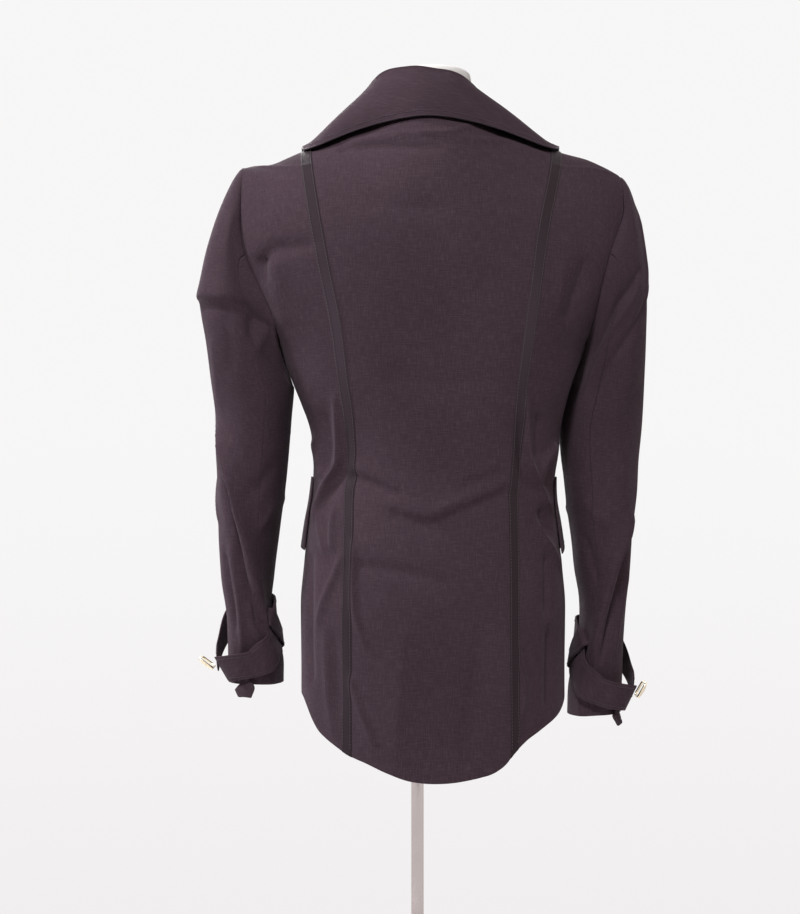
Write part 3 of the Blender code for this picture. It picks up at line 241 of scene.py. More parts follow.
# height and half widths on the path's two sides, then x, z of its points, of each crease of the back
BACK_CREASES = (
    (0.005, 0.004, 0.003, (0.1035, 1.09), (0.1005, 1.06), (0.0988, 1.03), (0.0992, 1.0186), (0.1106, 1.002),
     (0.1179, 0.983), (0.1231, 0.973), (0.125, 0.962)),
    (-0.0032, 0.007, 0.006, (0.113, 1.075), (0.111, 1.05), (0.11, 1.03), (0.1145, 1.012)),
    (-0.0022, 0.004, 0.006, (0.093, 1.06), (0.092, 1.035), (0.093, 1.014), (0.103, 0.996), (0.112, 0.98)),
    (0.0035, 0.004, 0.004, (0.1265, 1.046), (0.1241, 1.036), (0.1189, 1.017), (0.1165, 1.006)),
    (0.0026, 0.004, 0.004, (0.103, 0.976), (0.1064, 0.95), (0.105, 0.93)),
    (0.0022, 0.0035, 0.0035, (0.122, 0.968), (0.1175, 0.945), (0.113, 0.925)),
    (0.005, 0.003, 0.0045, (-0.097, 1.09), (-0.0968, 1.07), (-0.098, 1.045), (-0.0999, 1.022),
     (-0.1101, 0.998), (-0.1236, 0.972)),
    (-0.003, 0.007, 0.008, (-0.112, 1.075), (-0.111, 1.05), (-0.1105, 1.026)),
    (-0.0022, 0.006, 0.004, (-0.0905, 1.06), (-0.092, 1.03), (-0.096, 1.008), (-0.108, 0.985)),
    (0.004, 0.0035, 0.0035, (-0.131, 1.04), (-0.1273, 1.034), (-0.1163, 1.02), (-0.1129, 1.005)),
    (-0.004, 0.005, 0.005, (-0.114, 0.975), (-0.1175, 0.962), (-0.1225, 0.946)),
    (0.0036, 0.003, 0.004, (-0.11, 0.956), (-0.1141, 0.948), (-0.1285, 0.924), (-0.1331, 0.914)),
    (0.0018, 0.0035, 0.01, (0.05, 0.985), (0.025, 0.972), (0.005, 0.965), (-0.025, 0.978), (-0.0643, 0.996),
     (-0.08, 1.002)),
    (-0.0028, 0.01, 0.004, (0.045, 0.972), (0.0346, 0.968), (0.006, 0.956), (-0.0226, 0.97),
     (-0.0643, 0.987), (-0.078, 0.992)),
    (-0.0024, 0.006, 0.004, (0.088, 1.01), (0.0814, 1.007), (0.058, 0.999), (0.032, 0.986)),
    (0.0014, 0.004, 0.008, (0.086, 1.018), (0.06, 1.009), (0.035, 0.996)),
    (-0.0018, 0.007, 0.004, (-0.03, 1.0), (-0.0383, 1.002), (-0.0747, 1.012)),
    (-0.002, 0.008, 0.005, (0.08, 0.917), (0.0762, 0.916), (0.0138, 0.908), (-0.0279, 0.895)),
    (0.0024, 0.0035, 0.0035, (0.0835, 0.94), (0.084, 0.908), (0.0825, 0.862), (0.069, 0.83)),
    (0.0024, 0.004, 0.004, (0.086, 0.8), (0.084, 0.786), (0.0684, 0.744), (0.0606, 0.728)),
    (0.003, 0.004, 0.004, (-0.0885, 0.83), (-0.0903, 0.809), (-0.0966, 0.786), (-0.0877, 0.739)),
    (-0.0042, 0.005, 0.004, (-0.12, 0.925), (-0.1215, 0.905), (-0.1215, 0.877), (-0.121, 0.86)),
    (-0.0042, 0.005, 0.005, (-0.123, 0.85), (-0.1236, 0.835), (-0.123, 0.78), (-0.121, 0.765)),
    (0.0028, 0.004, 0.004, (0.096, 0.925), (0.1023, 0.905), (0.1158, 0.874), (0.121, 0.85)),
    (-0.0032, 0.005, 0.004, (0.129, 0.925), (0.1304, 0.895), (0.131, 0.83), (0.128, 0.79)),
    (0.0022, 0.005, 0.005, (0.1135, 0.85), (0.111, 0.8), (0.108, 0.76), (0.102, 0.735)),
    (-0.002, 0.006, 0.006, (0.104, 0.85), (0.101, 0.8), (0.099, 0.76)),
    (0.0016, 0.014, 0.014, (0.03, 0.85), (0.035, 0.78), (0.04, 0.71)),
    (-0.0024, 0.01, 0.014, (-0.05, 0.85), (-0.042, 0.8), (-0.034, 0.745), (-0.03, 0.7)),
    (0.0022, 0.003, 0.004, (0.09, 1.36), (0.0693, 1.363), (0.0221, 1.367), (-0.0143, 1.367), (-0.03, 1.373),
     (-0.0393, 1.377)),
    (0.0022, 0.0035, 0.0035, (-0.018, 1.364), (-0.0452, 1.361), (-0.0757, 1.363), (-0.0986, 1.355),
     (-0.1215, 1.347)),
    (-0.0026, 0.006, 0.003, (0.1, 1.352), (0.0953, 1.355), (0.0693, 1.357), (0.0315, 1.354),
     (-0.0081, 1.352)),
    (0.0009, 0.0016, 0.0016, (0.2, 1.342), (0.1793, 1.34), (0.1418, 1.334), (0.128, 1.338)),
    (0.0009, 0.0016, 0.0016, (-0.2, 1.33), (-0.176, 1.336), (-0.14, 1.334), (-0.127, 1.338)),
    (-0.0032, 0.008, 0.008, (0.185, 1.225), (0.179, 1.238), (0.165, 1.247), (0.148, 1.248), (0.125, 1.25)),
    (-0.0028, 0.006, 0.006, (0.181, 1.24), (0.18, 1.226), (0.175, 1.211)),
    (0.0024, 0.01, 0.01, (0.164, 1.235), (0.162, 1.2), (0.156, 1.165)),
    (0.0018, 0.01, 0.01, (0.1564, 1.159), (0.142, 1.12), (0.1231, 1.077)),
    (-0.0028, 0.007, 0.007, (-0.16, 1.235), (-0.1554, 1.214), (-0.1455, 1.191), (-0.14, 1.17)),
    (0.002, 0.009, 0.009, (-0.138, 1.235), (-0.134, 1.21), (-0.128, 1.18)),
    (0.0018, 0.01, 0.01, (-0.1564, 1.15), (-0.144, 1.12), (-0.126, 1.085)),
    (-0.0014, 0.011, 0.011, (0.07, 1.3), (0.03, 1.285), (-0.02, 1.29)),
    (0.0014, 0.012, 0.012, (-0.02, 1.25), (-0.05, 1.235), (-0.085, 1.215)),
    (-0.0014, 0.012, 0.012, (0.05, 1.12), (0.0, 1.1), (-0.06, 1.11)),
)
# the same for the front
FRONT_CREASES = (
    (0.0034, 0.0045, 0.0045, (0.118, 1.06), (0.095, 1.04), (0.07, 1.032)),
    (-0.003, 0.006, 0.006, (0.115, 1.04), (0.09, 1.02), (0.064, 1.012)),
    (0.003, 0.0045, 0.006, (0.118, 1.01), (0.094, 1.002), (0.072, 0.998)),
    (0.0034, 0.0045, 0.0045, (-0.118, 1.052), (-0.093, 1.036), (-0.07, 1.03)),
    (-0.003, 0.006, 0.006, (-0.115, 1.034), (-0.09, 1.018), (-0.064, 1.01)),
    (0.003, 0.0045, 0.006, (-0.118, 1.004), (-0.094, 0.998), (-0.074, 0.994)),
    (0.0026, 0.01, 0.006, (0.09, 0.88), (0.088, 0.8), (0.086, 0.73)),
    (-0.0026, 0.008, 0.008, (0.104, 0.87), (0.103, 0.8), (0.101, 0.735)),
    (-0.0026, 0.01, 0.008, (-0.08, 0.87), (-0.078, 0.79), (-0.076, 0.725)),
    (0.0026, 0.008, 0.006, (-0.098, 0.88), (-0.096, 0.8), (-0.094, 0.73)),
    (0.0022, 0.007, 0.007, (0.145, 1.22), (0.142, 1.18), (0.14, 1.14)),
    (-0.0022, 0.007, 0.007, (-0.145, 1.22), (-0.142, 1.18), (-0.14, 1.14)),
    (-0.002, 0.008, 0.008, (0.13, 1.18), (0.105, 1.12), (0.085, 1.08)),
    (0.0018, 0.008, 0.008, (-0.132, 1.17), (-0.108, 1.12), (-0.085, 1.075)),
)
# the same for the sleeves, with the turn in degrees instead of x
SLEEVE_CREASES = {
    1: (
        (0.0034, 0.015, 0.0035, (0, 1.199), (25, 1.2), (50, 1.199), (90, 1.196), (120, 1.192)),
        (-0.003, 0.0035, 0.01, (25, 1.187), (60, 1.186), (110, 1.18), (153, 1.165)),
        (-0.0036, 0.007, 0.007, (85, 1.196), (128, 1.181), (114, 1.166), (107, 1.152)),
        (0.0026, 0.006, 0.006, (145, 1.165), (124, 1.153), (108, 1.138)),
        (-0.002, 0.009, 0.009, (72, 1.18), (76, 1.15), (69, 1.115)),
        (0.002, 0.01, 0.01, (44, 1.15), (39, 1.11), (36, 1.08)),
        (0.0075, 0.015, 0.0028, (28, 1.046), (48, 1.025), (61, 0.999), (67, 0.982), (75, 0.961),
         (87, 0.934), (96, 0.907), (116, 0.875), (126, 0.848), (124, 0.821)),
        (-0.0064, 0.005, 0.007, (48, 0.997), (55, 0.98), (64, 0.958), (76, 0.932), (86, 0.905),
         (102, 0.873), (110, 0.846)),
        (0.0034, 0.006, 0.006, (61, 0.935), (78, 0.885), (77, 0.845), (70, 0.812)),
        (-0.0036, 0.005, 0.005, (42, 0.925), (57, 0.88), (56, 0.84)),
        (0.0022, 0.006, 0.006, (-20, 1.01), (-5, 0.985), (16, 0.96)),
        (-0.0022, 0.008, 0.008, (132, 1.02), (103, 0.995), (86, 0.985)),
        (0.0022, 0.008, 0.008, (143, 0.98), (122, 0.96), (107, 0.95)),
        (0.0026, 0.006, 0.007, (200, 1.06), (230, 1.03), (260, 1.015)),
        (-0.0026, 0.007, 0.007, (200, 1.02), (235, 1.0), (265, 0.99)),
        (0.0024, 0.006, 0.007, (195, 0.985), (235, 0.968), (262, 0.962)),
        (0.0022, 0.007, 0.007, (-100, 1.13), (-60, 1.11), (-20, 1.08)),
        (-0.0024, 0.007, 0.007, (250, 0.93), (262, 0.88), (262, 0.83)),
    ),
    -1: (
        (0.0028, 0.018, 0.018, (176, 1.13), (178, 1.105), (182, 1.075)),
        (0.0024, 0.0035, 0.0035, (22, 1.296), (19, 1.25), (22, 1.217), (30, 1.178)),
        (-0.004, 0.007, 0.007, (50, 1.228), (85, 1.205), (112, 1.18), (131, 1.14)),
        (0.0036, 0.008, 0.007, (50, 1.222), (62, 1.212), (88, 1.187), (113, 1.158), (125, 1.119),
         (131, 1.08)),
        (-0.0032, 0.008, 0.008, (22, 1.198), (75, 1.158), (98, 1.128), (108, 1.09)),
        (0.002, 0.01, 0.01, (41, 1.13), (69, 1.1), (83, 1.06)),
        (-0.0018, 0.009, 0.009, (103, 1.06), (96, 1.02), (100, 0.985)),
        (0.0054, 0.014, 0.0028, (32, 0.966), (42, 0.945), (69, 0.916), (92, 0.862), (112, 0.815)),
        (-0.0058, 0.005, 0.007, (26, 0.95), (32, 0.94), (56, 0.9), (82, 0.85), (95, 0.808)),
        (0.0026, 0.006, 0.006, (29, 0.905), (51, 0.862), (66, 0.815)),
        (0.002, 0.007, 0.007, (123, 0.985), (104, 0.965), (78, 0.955)),
        (-0.002, 0.007, 0.007, (136, 0.95), (117, 0.925), (106, 0.89)),
        (0.0026, 0.006, 0.007, (200, 1.05), (230, 1.02), (260, 1.005)),
        (-0.0026, 0.007, 0.007, (200, 1.01), (235, 0.99), (265, 0.98)),
        (0.0024, 0.006, 0.007, (195, 0.975), (235, 0.958), (262, 0.95)),
        (0.0022, 0.007, 0.007, (-100, 1.12), (-60, 1.1), (-20, 1.07)),
        (-0.0024, 0.007, 0.007, (250, 0.92), (262, 0.87), (262, 0.82)),
    ),
}
CLOTH = 0.0018
SHEET_BEVEL = 0.0006
SMALL_BEVEL = 0.0005
UNDER_COLUMNS = (6, 14)
# columns of the centre, side and front panels, then the places of the front's lap from the centre
CENTRE_COLUMNS = 10
SIDE_COLUMNS = 8
FRONT_COLUMNS = 8
LAP = (0.066, 0.054, 0.042, LAP_START, 0.017, 0.004, -0.009, -OVERLAP)
LAP_RAMP = 0.022
LAP_LIFT = WALL + 0.0013
SEAM_TURN = 38
# finer steps between those rows and columns
ROW_STEPS = 8
BACK_STEPS = 8
FRONT_STEPS = 6
SLEEVE_STEPS = 6
FINE_COLUMNS = 9
# the ridge along each sleeve and the valley beside it, with the height where both fade out
RIDGE_HIGH = 0.004
VALLEY_DEEP = 0.003
RIDGE_WIDE = 0.30
VALLEY_TURN = 0.62
RIDGE_TOP_Z = 1.12
RIDGE_FADE = 0.08
# foot of the sleeve's cap at the underarm, and its rise to the outer side
CAP_FOOT_Z = 1.100
CAP_FOOT_RISE = 0.086
COLLAR_BEND = 0.0045
COLLAR_BULGE = 0.004
COLLAR_GAP = 0.0062
FLAP_WRAP = 15
FLAP_REACH = 6
CREASE_SCALE = 1.6
SLEEVE_CREASE_SCALE = 1.4
SLEEVE_RADIUS = 0.045
CREASE_POWER = 1.6
# slight unevenness of the hung cloth
RIPPLE_BACK = 0.0007
RIPPLE_FRONT = 0.0006
RIPPLE_COLLAR = 0.0004
SEAM_VALLEY = (0.0028, 0.0007)
# gap of the collar's free edge over the back, and how much more it is towards the right shoulder
COLLAR_CLEAR = 0.0032
COLLAR_LIFT = 0.0060
# how far across the tape each column lies, as a share of its half width, and its rise over the seam
TAPE_COLUMNS = (-1.0, -0.9, -0.72, -0.4, 0.0, 0.4, 0.72, 0.9, 1.0)
TAPE_RISE = (-0.0004, 0.0004, 0.0006, 0.0006, 0.0006, 0.0006, 0.0006, 0.0004, -0.0004)
TAPE_SHELL = 0.0003
STITCH_LONG = 0.0026
STITCH_PITCH = 0.0034
STITCH_RADIUS = 0.00028
BINDING_RADIUS = 0.0011
BINDING_SIDES = 10
# walls of the strap, its tail and its loop, the steps along each, and the loop's way over the strap
STRAP_SHELL = 0.0016
LOOP_SHELL = 0.0012
STRAP_STEPS = 96
TAIL_STEPS = 24
LOOP_STEPS = 36
LOOP_SLANT = (-0.707, 0.707)
# place along a strap's tail, share of its full width
TAIL_SHAPE = ((0, 1.0), (0.60, 1.0), (0.68, 0.93), (0.84, 0.50), (1.0, 0.06))
# camera at the photo's place; focal length and picture height in pixels
CAMERA_PLACE = (0.0189, 2.8, 1.028)
FOCAL_PX = 2593.0
PICTURE_PX = 914.0
SENSOR = 36.0
# light that comes from below and from above, and the wall that the camera sees
SKY_LOW = -0.35
SKY_HIGH = 0.85
SKY_BELOW = (0.045, 0.040, 0.040)
SKY_ABOVE = (0.15, 0.145, 0.15)
SKY_SEEN = (0.935, 0.925, 0.925)
SKY_SEEN_LOW = (0.880, 0.855, 0.865)
FLOOR_RADIUS = 2.6
FLOOR_Z = -0.0005
# name, place, height aimed at, size, watts and colour of each lamp
LAMPS = (
    ("top", (0.5, 2.5, 3.5), 1.10, 0.6, 84, (1.0, 0.98, 1.0)),
    ("side", (2.6, 0.0, 2.9), 1.10, 0.5, 84, (0.96, 0.96, 1.0)),
    ("fill", (-2.9, 0.2, 2.4), 1.05, 0.9, 12, (1.0, 0.90, 0.84)),
    ("front", (0.8, -2.8, 2.8), 1.10, 2.0, 90, (1.0, 1.0, 1.0)),
)
# metres from yarn to yarn of the cloth and from rib to rib of the tape
YARN = 0.0006
RIB = 0.0011
OUT_BODY = np.array((1.0, 1.0, 0.0))


def curve(table, at, column=1, flat=False):
    """Smooth monotone value of one column of a table at `at`; flat starts it with no slope."""
    xs = [row[0] for row in table]
    ys = [row[column] for row in table]
    if xs[0] > xs[-1]:
        xs.reverse()
        ys.reverse()
    if at <= xs[0]:
        return ys[0]
    if at >= xs[-1]:
        return ys[-1]
    i = int(np.searchsorted(xs, at)) - 1
    steps = [(ys[k + 1] - ys[k]) / (xs[k + 1] - xs[k]) for k in range(len(xs) - 1)]

    def slope(k):
        if k == 0:
            return 0.0 if flat else steps[0]
        if k == len(xs) - 1:
            return steps[-1]
        if steps[k - 1] * steps[k] <= 0:
            return 0.0
        return 2 * steps[k - 1] * steps[k] / (steps[k - 1] + steps[k])

    h = xs[i + 1] - xs[i]
    t = (at - xs[i]) / h
    return (ys[i] * (1 + 2 * t) * (1 - t) ** 2 + h * slope(i) * t * (1 - t) ** 2
            + ys[i + 1] * t * t * (3 - 2 * t) + h * slope(i + 1) * t * t * (t - 1))


def unit(v):
    """The vector at length 1."""
    length = np.linalg.norm(v)
    return v / length if length > 1e-12 else v


def arc(x, half):
    """Depth share of the body's section at x."""
    s = min(abs(x) / half, 1.0)
    return max(1 - s ** SECTION_POWER, 0.0) ** (1 / SECTION_POWER)


def turn_to_x(turn, half):
    """x of a section at a turn from the centre, in degrees."""
    return half * math.sin(math.radians(turn)) ** (2 / SECTION_POWER)


def x_to_turn(x, half):
    """Turn in degrees of a section at x."""
    s = min(abs(x) / half, 1.0)
    return math.degrees(math.asin(s ** (SECTION_POWER / 2)))


def shoulder_z(x, side):
    """Height of the shoulder line at x."""
    return curve(SHOULDER[side], max(abs(x), NECK_X))


def yoke_back(x, side):
    """Centre y, centre z and last turn of the quarter ellipse above the blades."""
    if abs(x) >= NECK_X:
        return 0.0, shoulder_z(x, side), 90.0
    q = (abs(x) / NECK_X) ** 2
    top = NAPE_Z + (shoulder_z(NECK_X, side) - NAPE_Z) * q
    depth = NAPE_Y * (1 - q)
    last = 90.0 - 35.0 * (1 - q)
    at_blade = curve(BODY, BLADE_Z, 2) * arc(x, curve(BODY, BLADE_Z, 1))
    a = math.radians(last)
    centre_z = BLADE_Z + (top - BLADE_Z) / math.sin(a)
    centre_y = (depth - at_blade * math.cos(a)) / (1 - math.cos(a))
    return centre_y, centre_z, last


def back_y(x, z):
    """y of the coat's back at x, z."""
    side = 1 if x >= 0 else -1
    half = curve(BODY, z, 1)
    if z <= BLADE_Z:
        return curve(BODY, z, 2) * arc(x, half)
    depth = curve(BODY, BLADE_Z, 2) * arc(x, half)
    cy, cz, _ = yoke_back(x, side)
    s = min((z - BLADE_Z) / (cz - BLADE_Z), 1.0)
    return cy + (depth - cy) * math.sqrt(1 - s * s)


def front_y(x, z, side):
    """Distance of the coat's front before the centre plane at x, z."""
    half = curve(BODY, z, 1)
    if z <= CHEST_Z:
        return curve(BODY, z, 3) * arc(x, half)
    depth = curve(BODY, CHEST_Z, 3) * arc(x, half)
    cz = shoulder_z(x, side)
    s = min((z - CHEST_Z) / (cz - CHEST_Z), 1.0)
    return depth * math.sqrt(1 - s * s)


def neck_v(xs, side):
    """Height of the front's V neckline at a distance xs from the centre on its own side."""
    if xs < 0:
        return BREAK_Z + 0.3 * xs
    top = shoulder_z(NECK_X, side)
    return BREAK_Z + (top - BREAK_Z) * min(xs / NECK_X, 1.0)


def hem_z(turn, front, side):
    """Height of the hem at a turn from the centre, in degrees."""
    if front:
        return HEM_FRONT + curve(HEM_FRONT_RISE, turn, flat=True)
    return HEM_BACK + curve(HEM_BACK_RISE[side], turn, flat=True)


def row_height(row, hem, base_z):
    """Height of a skirt or armhole row."""
    if row <= SKIRT_ROWS:
        return hem + (UNDERARM_Z - hem) * row / SKIRT_ROWS
    return UNDERARM_Z + (base_z - UNDERARM_Z) * (row - SKIRT_ROWS) / ARMHOLE_ROWS


BODY_ROWS = SKIRT_ROWS + ARMHOLE_ROWS + YOKE_ROWS


def back_point(row, x_of_z, turn_guess, side):
    """Point of the back at a row, with x as a function of height."""
    if row <= SKIRT_ROWS + ARMHOLE_ROWS:
        z = row_height(row, hem_z(turn_guess, False, side), BLADE_Z)
        x = x_of_z(z)
        if row < SKIRT_ROWS:
            for _ in range(3):
                turn = x_to_turn(x, curve(BODY, z, 1))
                z = row_height(row, hem_z(turn, False, side), BLADE_Z)
                x = x_of_z(z)
        y = curve(BODY, z, 2) * arc(x, curve(BODY, z, 1))
        return np.array((side * x, y, z))
    share = (row - SKIRT_ROWS - ARMHOLE_ROWS) / YOKE_ROWS
    z = BLADE_Z + 0.12 * share
    for _ in range(8):
        x = x_of_z(z)
        cy, cz, last = yoke_back(side * x, side)
        a = math.radians(last * share)
        z = BLADE_Z + (cz - BLADE_Z) * math.sin(a)
    depth = curve(BODY, BLADE_Z, 2) * arc(x, curve(BODY, z, 1))
    return np.array((side * x, cy + (depth - cy) * math.cos(a), z))


def back_half(side, shares):
    """Rows by columns of points of the back on one side, at shares of 0 (centre) to 1 (seam) to 2 (side)."""
    grid = np.zeros((BODY_ROWS + 1, len(shares), 3))
    for row in range(BODY_ROWS + 1):
        for k, share in enumerate(shares):
            def x_of_z(z, share=share, row=row):
                seam = curve(PRINCESS[side], z)
                if share <= 1:
                    return seam * share
                half = curve(BODY, z, 1)
                inner = x_to_turn(seam, half)
                outer = 90.0
                if row > SKIRT_ROWS:
                    outer = x_to_turn(curve(ARMHOLE_BACK[side], z), half)
                return turn_to_x(inner + (outer - inner) * (share - 1), half)

            guess = SEAM_TURN * share if share <= 1 else SEAM_TURN + (90 - SEAM_TURN) * (share - 1)
            grid[row, k] = back_point(row, x_of_z, guess, side)
    return grid


def front_half(side, shares):
    """Rows by columns of one front; shares of 0 (side) to 1 (NECK_X), then 2 + x from the centre."""
    grid = np.zeros((BODY_ROWS + 1, len(shares), 3))
    for row in range(BODY_ROWS + 1):
        for k, share in enumerate(shares):
            z = row_height(min(row, SKIRT_ROWS + ARMHOLE_ROWS), HEM_SIDE, CHEST_Z)
            for _ in range(8):
                half = curve(BODY, z, 1)
                outer = half if row <= SKIRT_ROWS else curve(ARMHOLE_FRONT, z)
                start = x_to_turn(outer, half)
                stop = x_to_turn(NECK_X, half)
                x = share - 2 if share > 1 else turn_to_x(start + (stop - start) * share, half)
                turn = x_to_turn(x, half)
                if row <= SKIRT_ROWS + ARMHOLE_ROWS:
                    z = row_height(row, hem_z(abs(turn), True, side), CHEST_Z)
                    y = curve(BODY, z, 3) * arc(x, half)
                else:
                    cz = shoulder_z(x, side)
                    last = math.pi / 2
                    if x < NECK_X:
                        last = math.asin(min((neck_v(x, side) - CHEST_Z) / (cz - CHEST_Z), 1.0))
                    a = last * (row - SKIRT_ROWS - ARMHOLE_ROWS) / YOKE_ROWS
                    z = CHEST_Z + (cz - CHEST_Z) * math.sin(a)
                    y = curve(BODY, CHEST_Z, 3) * arc(x, half) * math.cos(a)
            grid[row, k] = (side * x, -y, z)
    return grid


def sleeve_hem(side, turn):
    """Height of the sleeve's hem at a turn from its outer side."""
    outer, inner = SLEEVE_HEM[side]
    return inner + (outer - inner) * (1 + math.cos(turn)) / 2


def sleeve_ring_point(side, turn, z):
    """Point of the hanging sleeve at a turn from its outer side towards the back."""
    table = SLEEVE[side]
    outer = curve(table, z, 1)
    inner = curve(table, z, 2)
    depth = curve(table, z, 3)
    centre = curve(table, z, 4)
    half = (outer - inner) / 2
    c = math.cos(turn)
    s = math.sin(turn)
    x = (outer + inner) / 2 + half * math.copysign(abs(c) ** 0.9, c)
    y = centre + depth * math.copysign(abs(s) ** 0.95, s)
    ridge = math.radians(curve(RIDGE[side], z))
    fade = min(max((RIDGE_TOP_Z - z) / RIDGE_FADE, 0.0), 1.0)
    away = (turn - ridge + math.pi) % (2 * math.pi) - math.pi
    lift = (RIDGE_HIGH * math.exp(-(away / RIDGE_WIDE) ** 2)
            - VALLEY_DEEP * math.exp(-((away + VALLEY_TURN) / RIDGE_WIDE) ** 2))
    wide = lift if lift > 0 else 0.3 * lift
    return np.array((side * (x + wide * fade * c * 0.3), y + lift * fade * s, z))


def sleeve_grid(side, edge):
    """Rows by columns of a whole sleeve from its armhole points to its hem; the columns run round it."""
    count = len(edge)
    grid = np.zeros((CAP_ROWS + ARM_ROWS + 1, count, 3))
    for j in range(count):
        turn = 2 * math.pi * j / count
        c = math.cos(turn)
        s = math.sin(turn)
        weights = (max(c, 0) ** 2, max(s, 0) ** 2, max(-c, 0) ** 2, max(-s, 0) ** 2)
        first = sum(w * h[0] for w, h in zip(weights, CAP_HANDLES))
        second = sum(w * h[1] for w, h in zip(weights, CAP_HANDLES))
        foot_z = CAP_FOOT_Z + CAP_FOOT_RISE * (1 + c) / 2
        foot = sleeve_ring_point(side, turn, foot_z)
        below = sleeve_ring_point(side, turn, foot_z - 0.01)
        rise = unit(foot - below)
        go = unit(np.array((side * 1.0, 0.35 * s, -1.10 * max(c, 0))))
        start = edge[j] + go * SEAM_GAP * 1.5
        start[0] += side * 0.0015 * max(c, 0)
        for row in range(CAP_ROWS + 1):
            t = row / CAP_ROWS
            grid[row, j] = ((1 - t) ** 3 * start + 3 * t * (1 - t) ** 2 * (start + go * first)
                            + 3 * t * t * (1 - t) * (foot + rise * second) + t ** 3 * foot)
        for row in range(1, ARM_ROWS + 1):
            z = foot_z + (sleeve_hem(side, turn) - foot_z) * row / ARM_ROWS
            grid[CAP_ROWS + row, j] = sleeve_ring_point(side, turn, z)
    return grid


def neckline(v, side):
    """Point of the coat's neck edge from the centre back at 0 to the front end at 1."""
    if v <= 0.45:
        x = NECK_X * math.sin(math.pi / 2 * v / 0.45)
        q = (x / NECK_X) ** 2
        top = NAPE_Z + (shoulder_z(NECK_X, side) - NAPE_Z) * q
        return np.array((side * x, NAPE_Y * (1 - q), top))
    x = NECK_X + (0.020 - NECK_X) * ((v - 0.45) / 0.55) ** 2
    z = neck_v(x, side)
    return np.array((side * x, -front_y(x, z, side), z))


def clear_of_coat(point, side, gap):
    """The point pushed out until it stands `gap` off the coat's yoke or chest."""
    x = abs(point[0])
    back = point[1] >= 0
    low = BLADE_Z if back else CHEST_Z
    depth = curve(BODY, low, 2 if back else 3) * arc(x, curve(BODY, point[2], 1))
    top = shoulder_z(x, side)
    moved = point.copy()
    for _ in range(80):
        if moved[2] > low:
            n = unit(np.array((0.0, moved[1] / depth ** 2, (moved[2] - low) / (top - low) ** 2)))
        else:
            n = np.array((0.0, 1.0 if back else -1.0, 0.0))
        q = moved - n * gap
        rise = max(q[2] - low, 0.0) / (top - low)
        if (q[1] / depth) ** 2 + rise ** 2 >= 1:
            break
        moved += n * 0.0005
    return moved


def collar_section(v, side):
    """Points from the stand's foot over the fold to the free edge."""
    base = neckline(v, side)
    fold = np.array([curve(FOLD, v, k, flat=k > 1) for k in (1, 2, 3)]) * (side, 1, 1)
    edge = np.array([curve(EDGE, v, k, flat=k > 1) for k in (1, 2, 3)]) * (side, 1, 1)
    if side == -1:
        fold *= (0.93, 1.0, 1.0)
        fold[2] -= 0.0015
    shift = COLLAR_SHIFT * max(0.0, 1 - v / 0.8)
    fold[0] += shift
    edge[0] += shift * 0.4
    out = unit((edge - fold) * (1, 1, 0))
    up = np.array((0.0, 0.0, 1.0))
    foot = base - out * 0.0030 + up * 0.0012
    inside = fold - out * COLLAR_BEND - up * COLLAR_BEND
    outside = fold + out * COLLAR_BEND * 1.4 - up * COLLAR_BEND * 0.7
    bulge = unit(np.cross(np.cross(edge - fold, up), edge - fold)) * COLLAR_BULGE
    fall = [
        outside,
        outside + (edge - outside) * 0.33 + bulge,
        outside + (edge - outside) * 0.67 + bulge * 0.9,
        edge,
    ]
    if v > 0.3:
        fall = [clear_of_coat(point, side, COLLAR_GAP) for point in fall]
    return [foot, foot + (inside - foot) * 0.5, inside, fold] + fall


def sleeve_normal(side, turn, z):
    """Outward normal of the hanging sleeve."""
    a = sleeve_ring_point(side, turn + 0.02, z) - sleeve_ring_point(side, turn - 0.02, z)
    b = sleeve_ring_point(side, turn, z + 0.004) - sleeve_ring_point(side, turn, z - 0.004)
    n = unit(np.cross(a, b))
    centre = (curve(SLEEVE[side], z, 1) + curve(SLEEVE[side], z, 2)) / 2
    middle = np.array((side * centre, curve(SLEEVE[side], z, 4), z))
    return n if np.dot(n, sleeve_ring_point(side, turn, z) - middle) > 0 else -n


def walk(side, turn, z, across, distance):
    """Turn and height reached on a sleeve at a distance along a direction of (round, up)."""
    steps = 6
    for _ in range(steps):
        a = sleeve_ring_point(side, turn + 0.01, z) - sleeve_ring_point(side, turn - 0.01, z)
        pace = np.linalg.norm(a) / 0.02
        turn += across[0] * distance / steps / pace
        z += across[1] * distance / steps
    return turn, z


def band(path, half, wall, side, columns):
    """Outer and inner grids of a band that follows the sleeve along stations of turn, height and standoff."""
    count = len(path)
    spots = [(math.radians(turn), z, off, math.radians(sum(twist))) for turn, z, off, *twist in path]
    outer = np.zeros((count, columns, 3))
    inner = np.zeros((count, columns, 3))
    for k, (turn, z, off, twist) in enumerate(spots):
        before = spots[max(k - 1, 0)]
        after = spots[min(k + 1, count - 1)]
        start = sleeve_ring_point(side, before[0], before[1])
        stop = sleeve_ring_point(side, after[0], after[1])
        flat = np.linalg.norm((stop - start)[:2])
        along = unit(np.array((math.copysign(flat, after[0] - before[0]), after[1] - before[1])))
        across = (-along[1], along[0])
        rise = math.copysign(1.0, across[1])
        for j in range(columns):
            reach = half[k] * (2 * j / (columns - 1) - 1)
            t, h = walk(side, turn, z, across, reach * math.cos(twist))
            n = sleeve_normal(side, t, h)
            inner[k, j] = sleeve_ring_point(side, t, h) + n * (off + reach * rise * math.sin(twist))
            outer[k, j] = inner[k, j] + (n * math.cos(twist) - np.array((0, 0, math.sin(twist)))) * wall
    return outer, inner


def smooth_path(table, steps):
    """Stations along a table of turn, height and standoff, evenly spaced in turn."""
    marks = [(k, *row) for k, row in enumerate(table)]
    last = len(table) - 1
    columns = range(1, len(marks[0]))
    return [[curve(marks, last * k / steps, c) for c in columns] for k in range(steps + 1)]


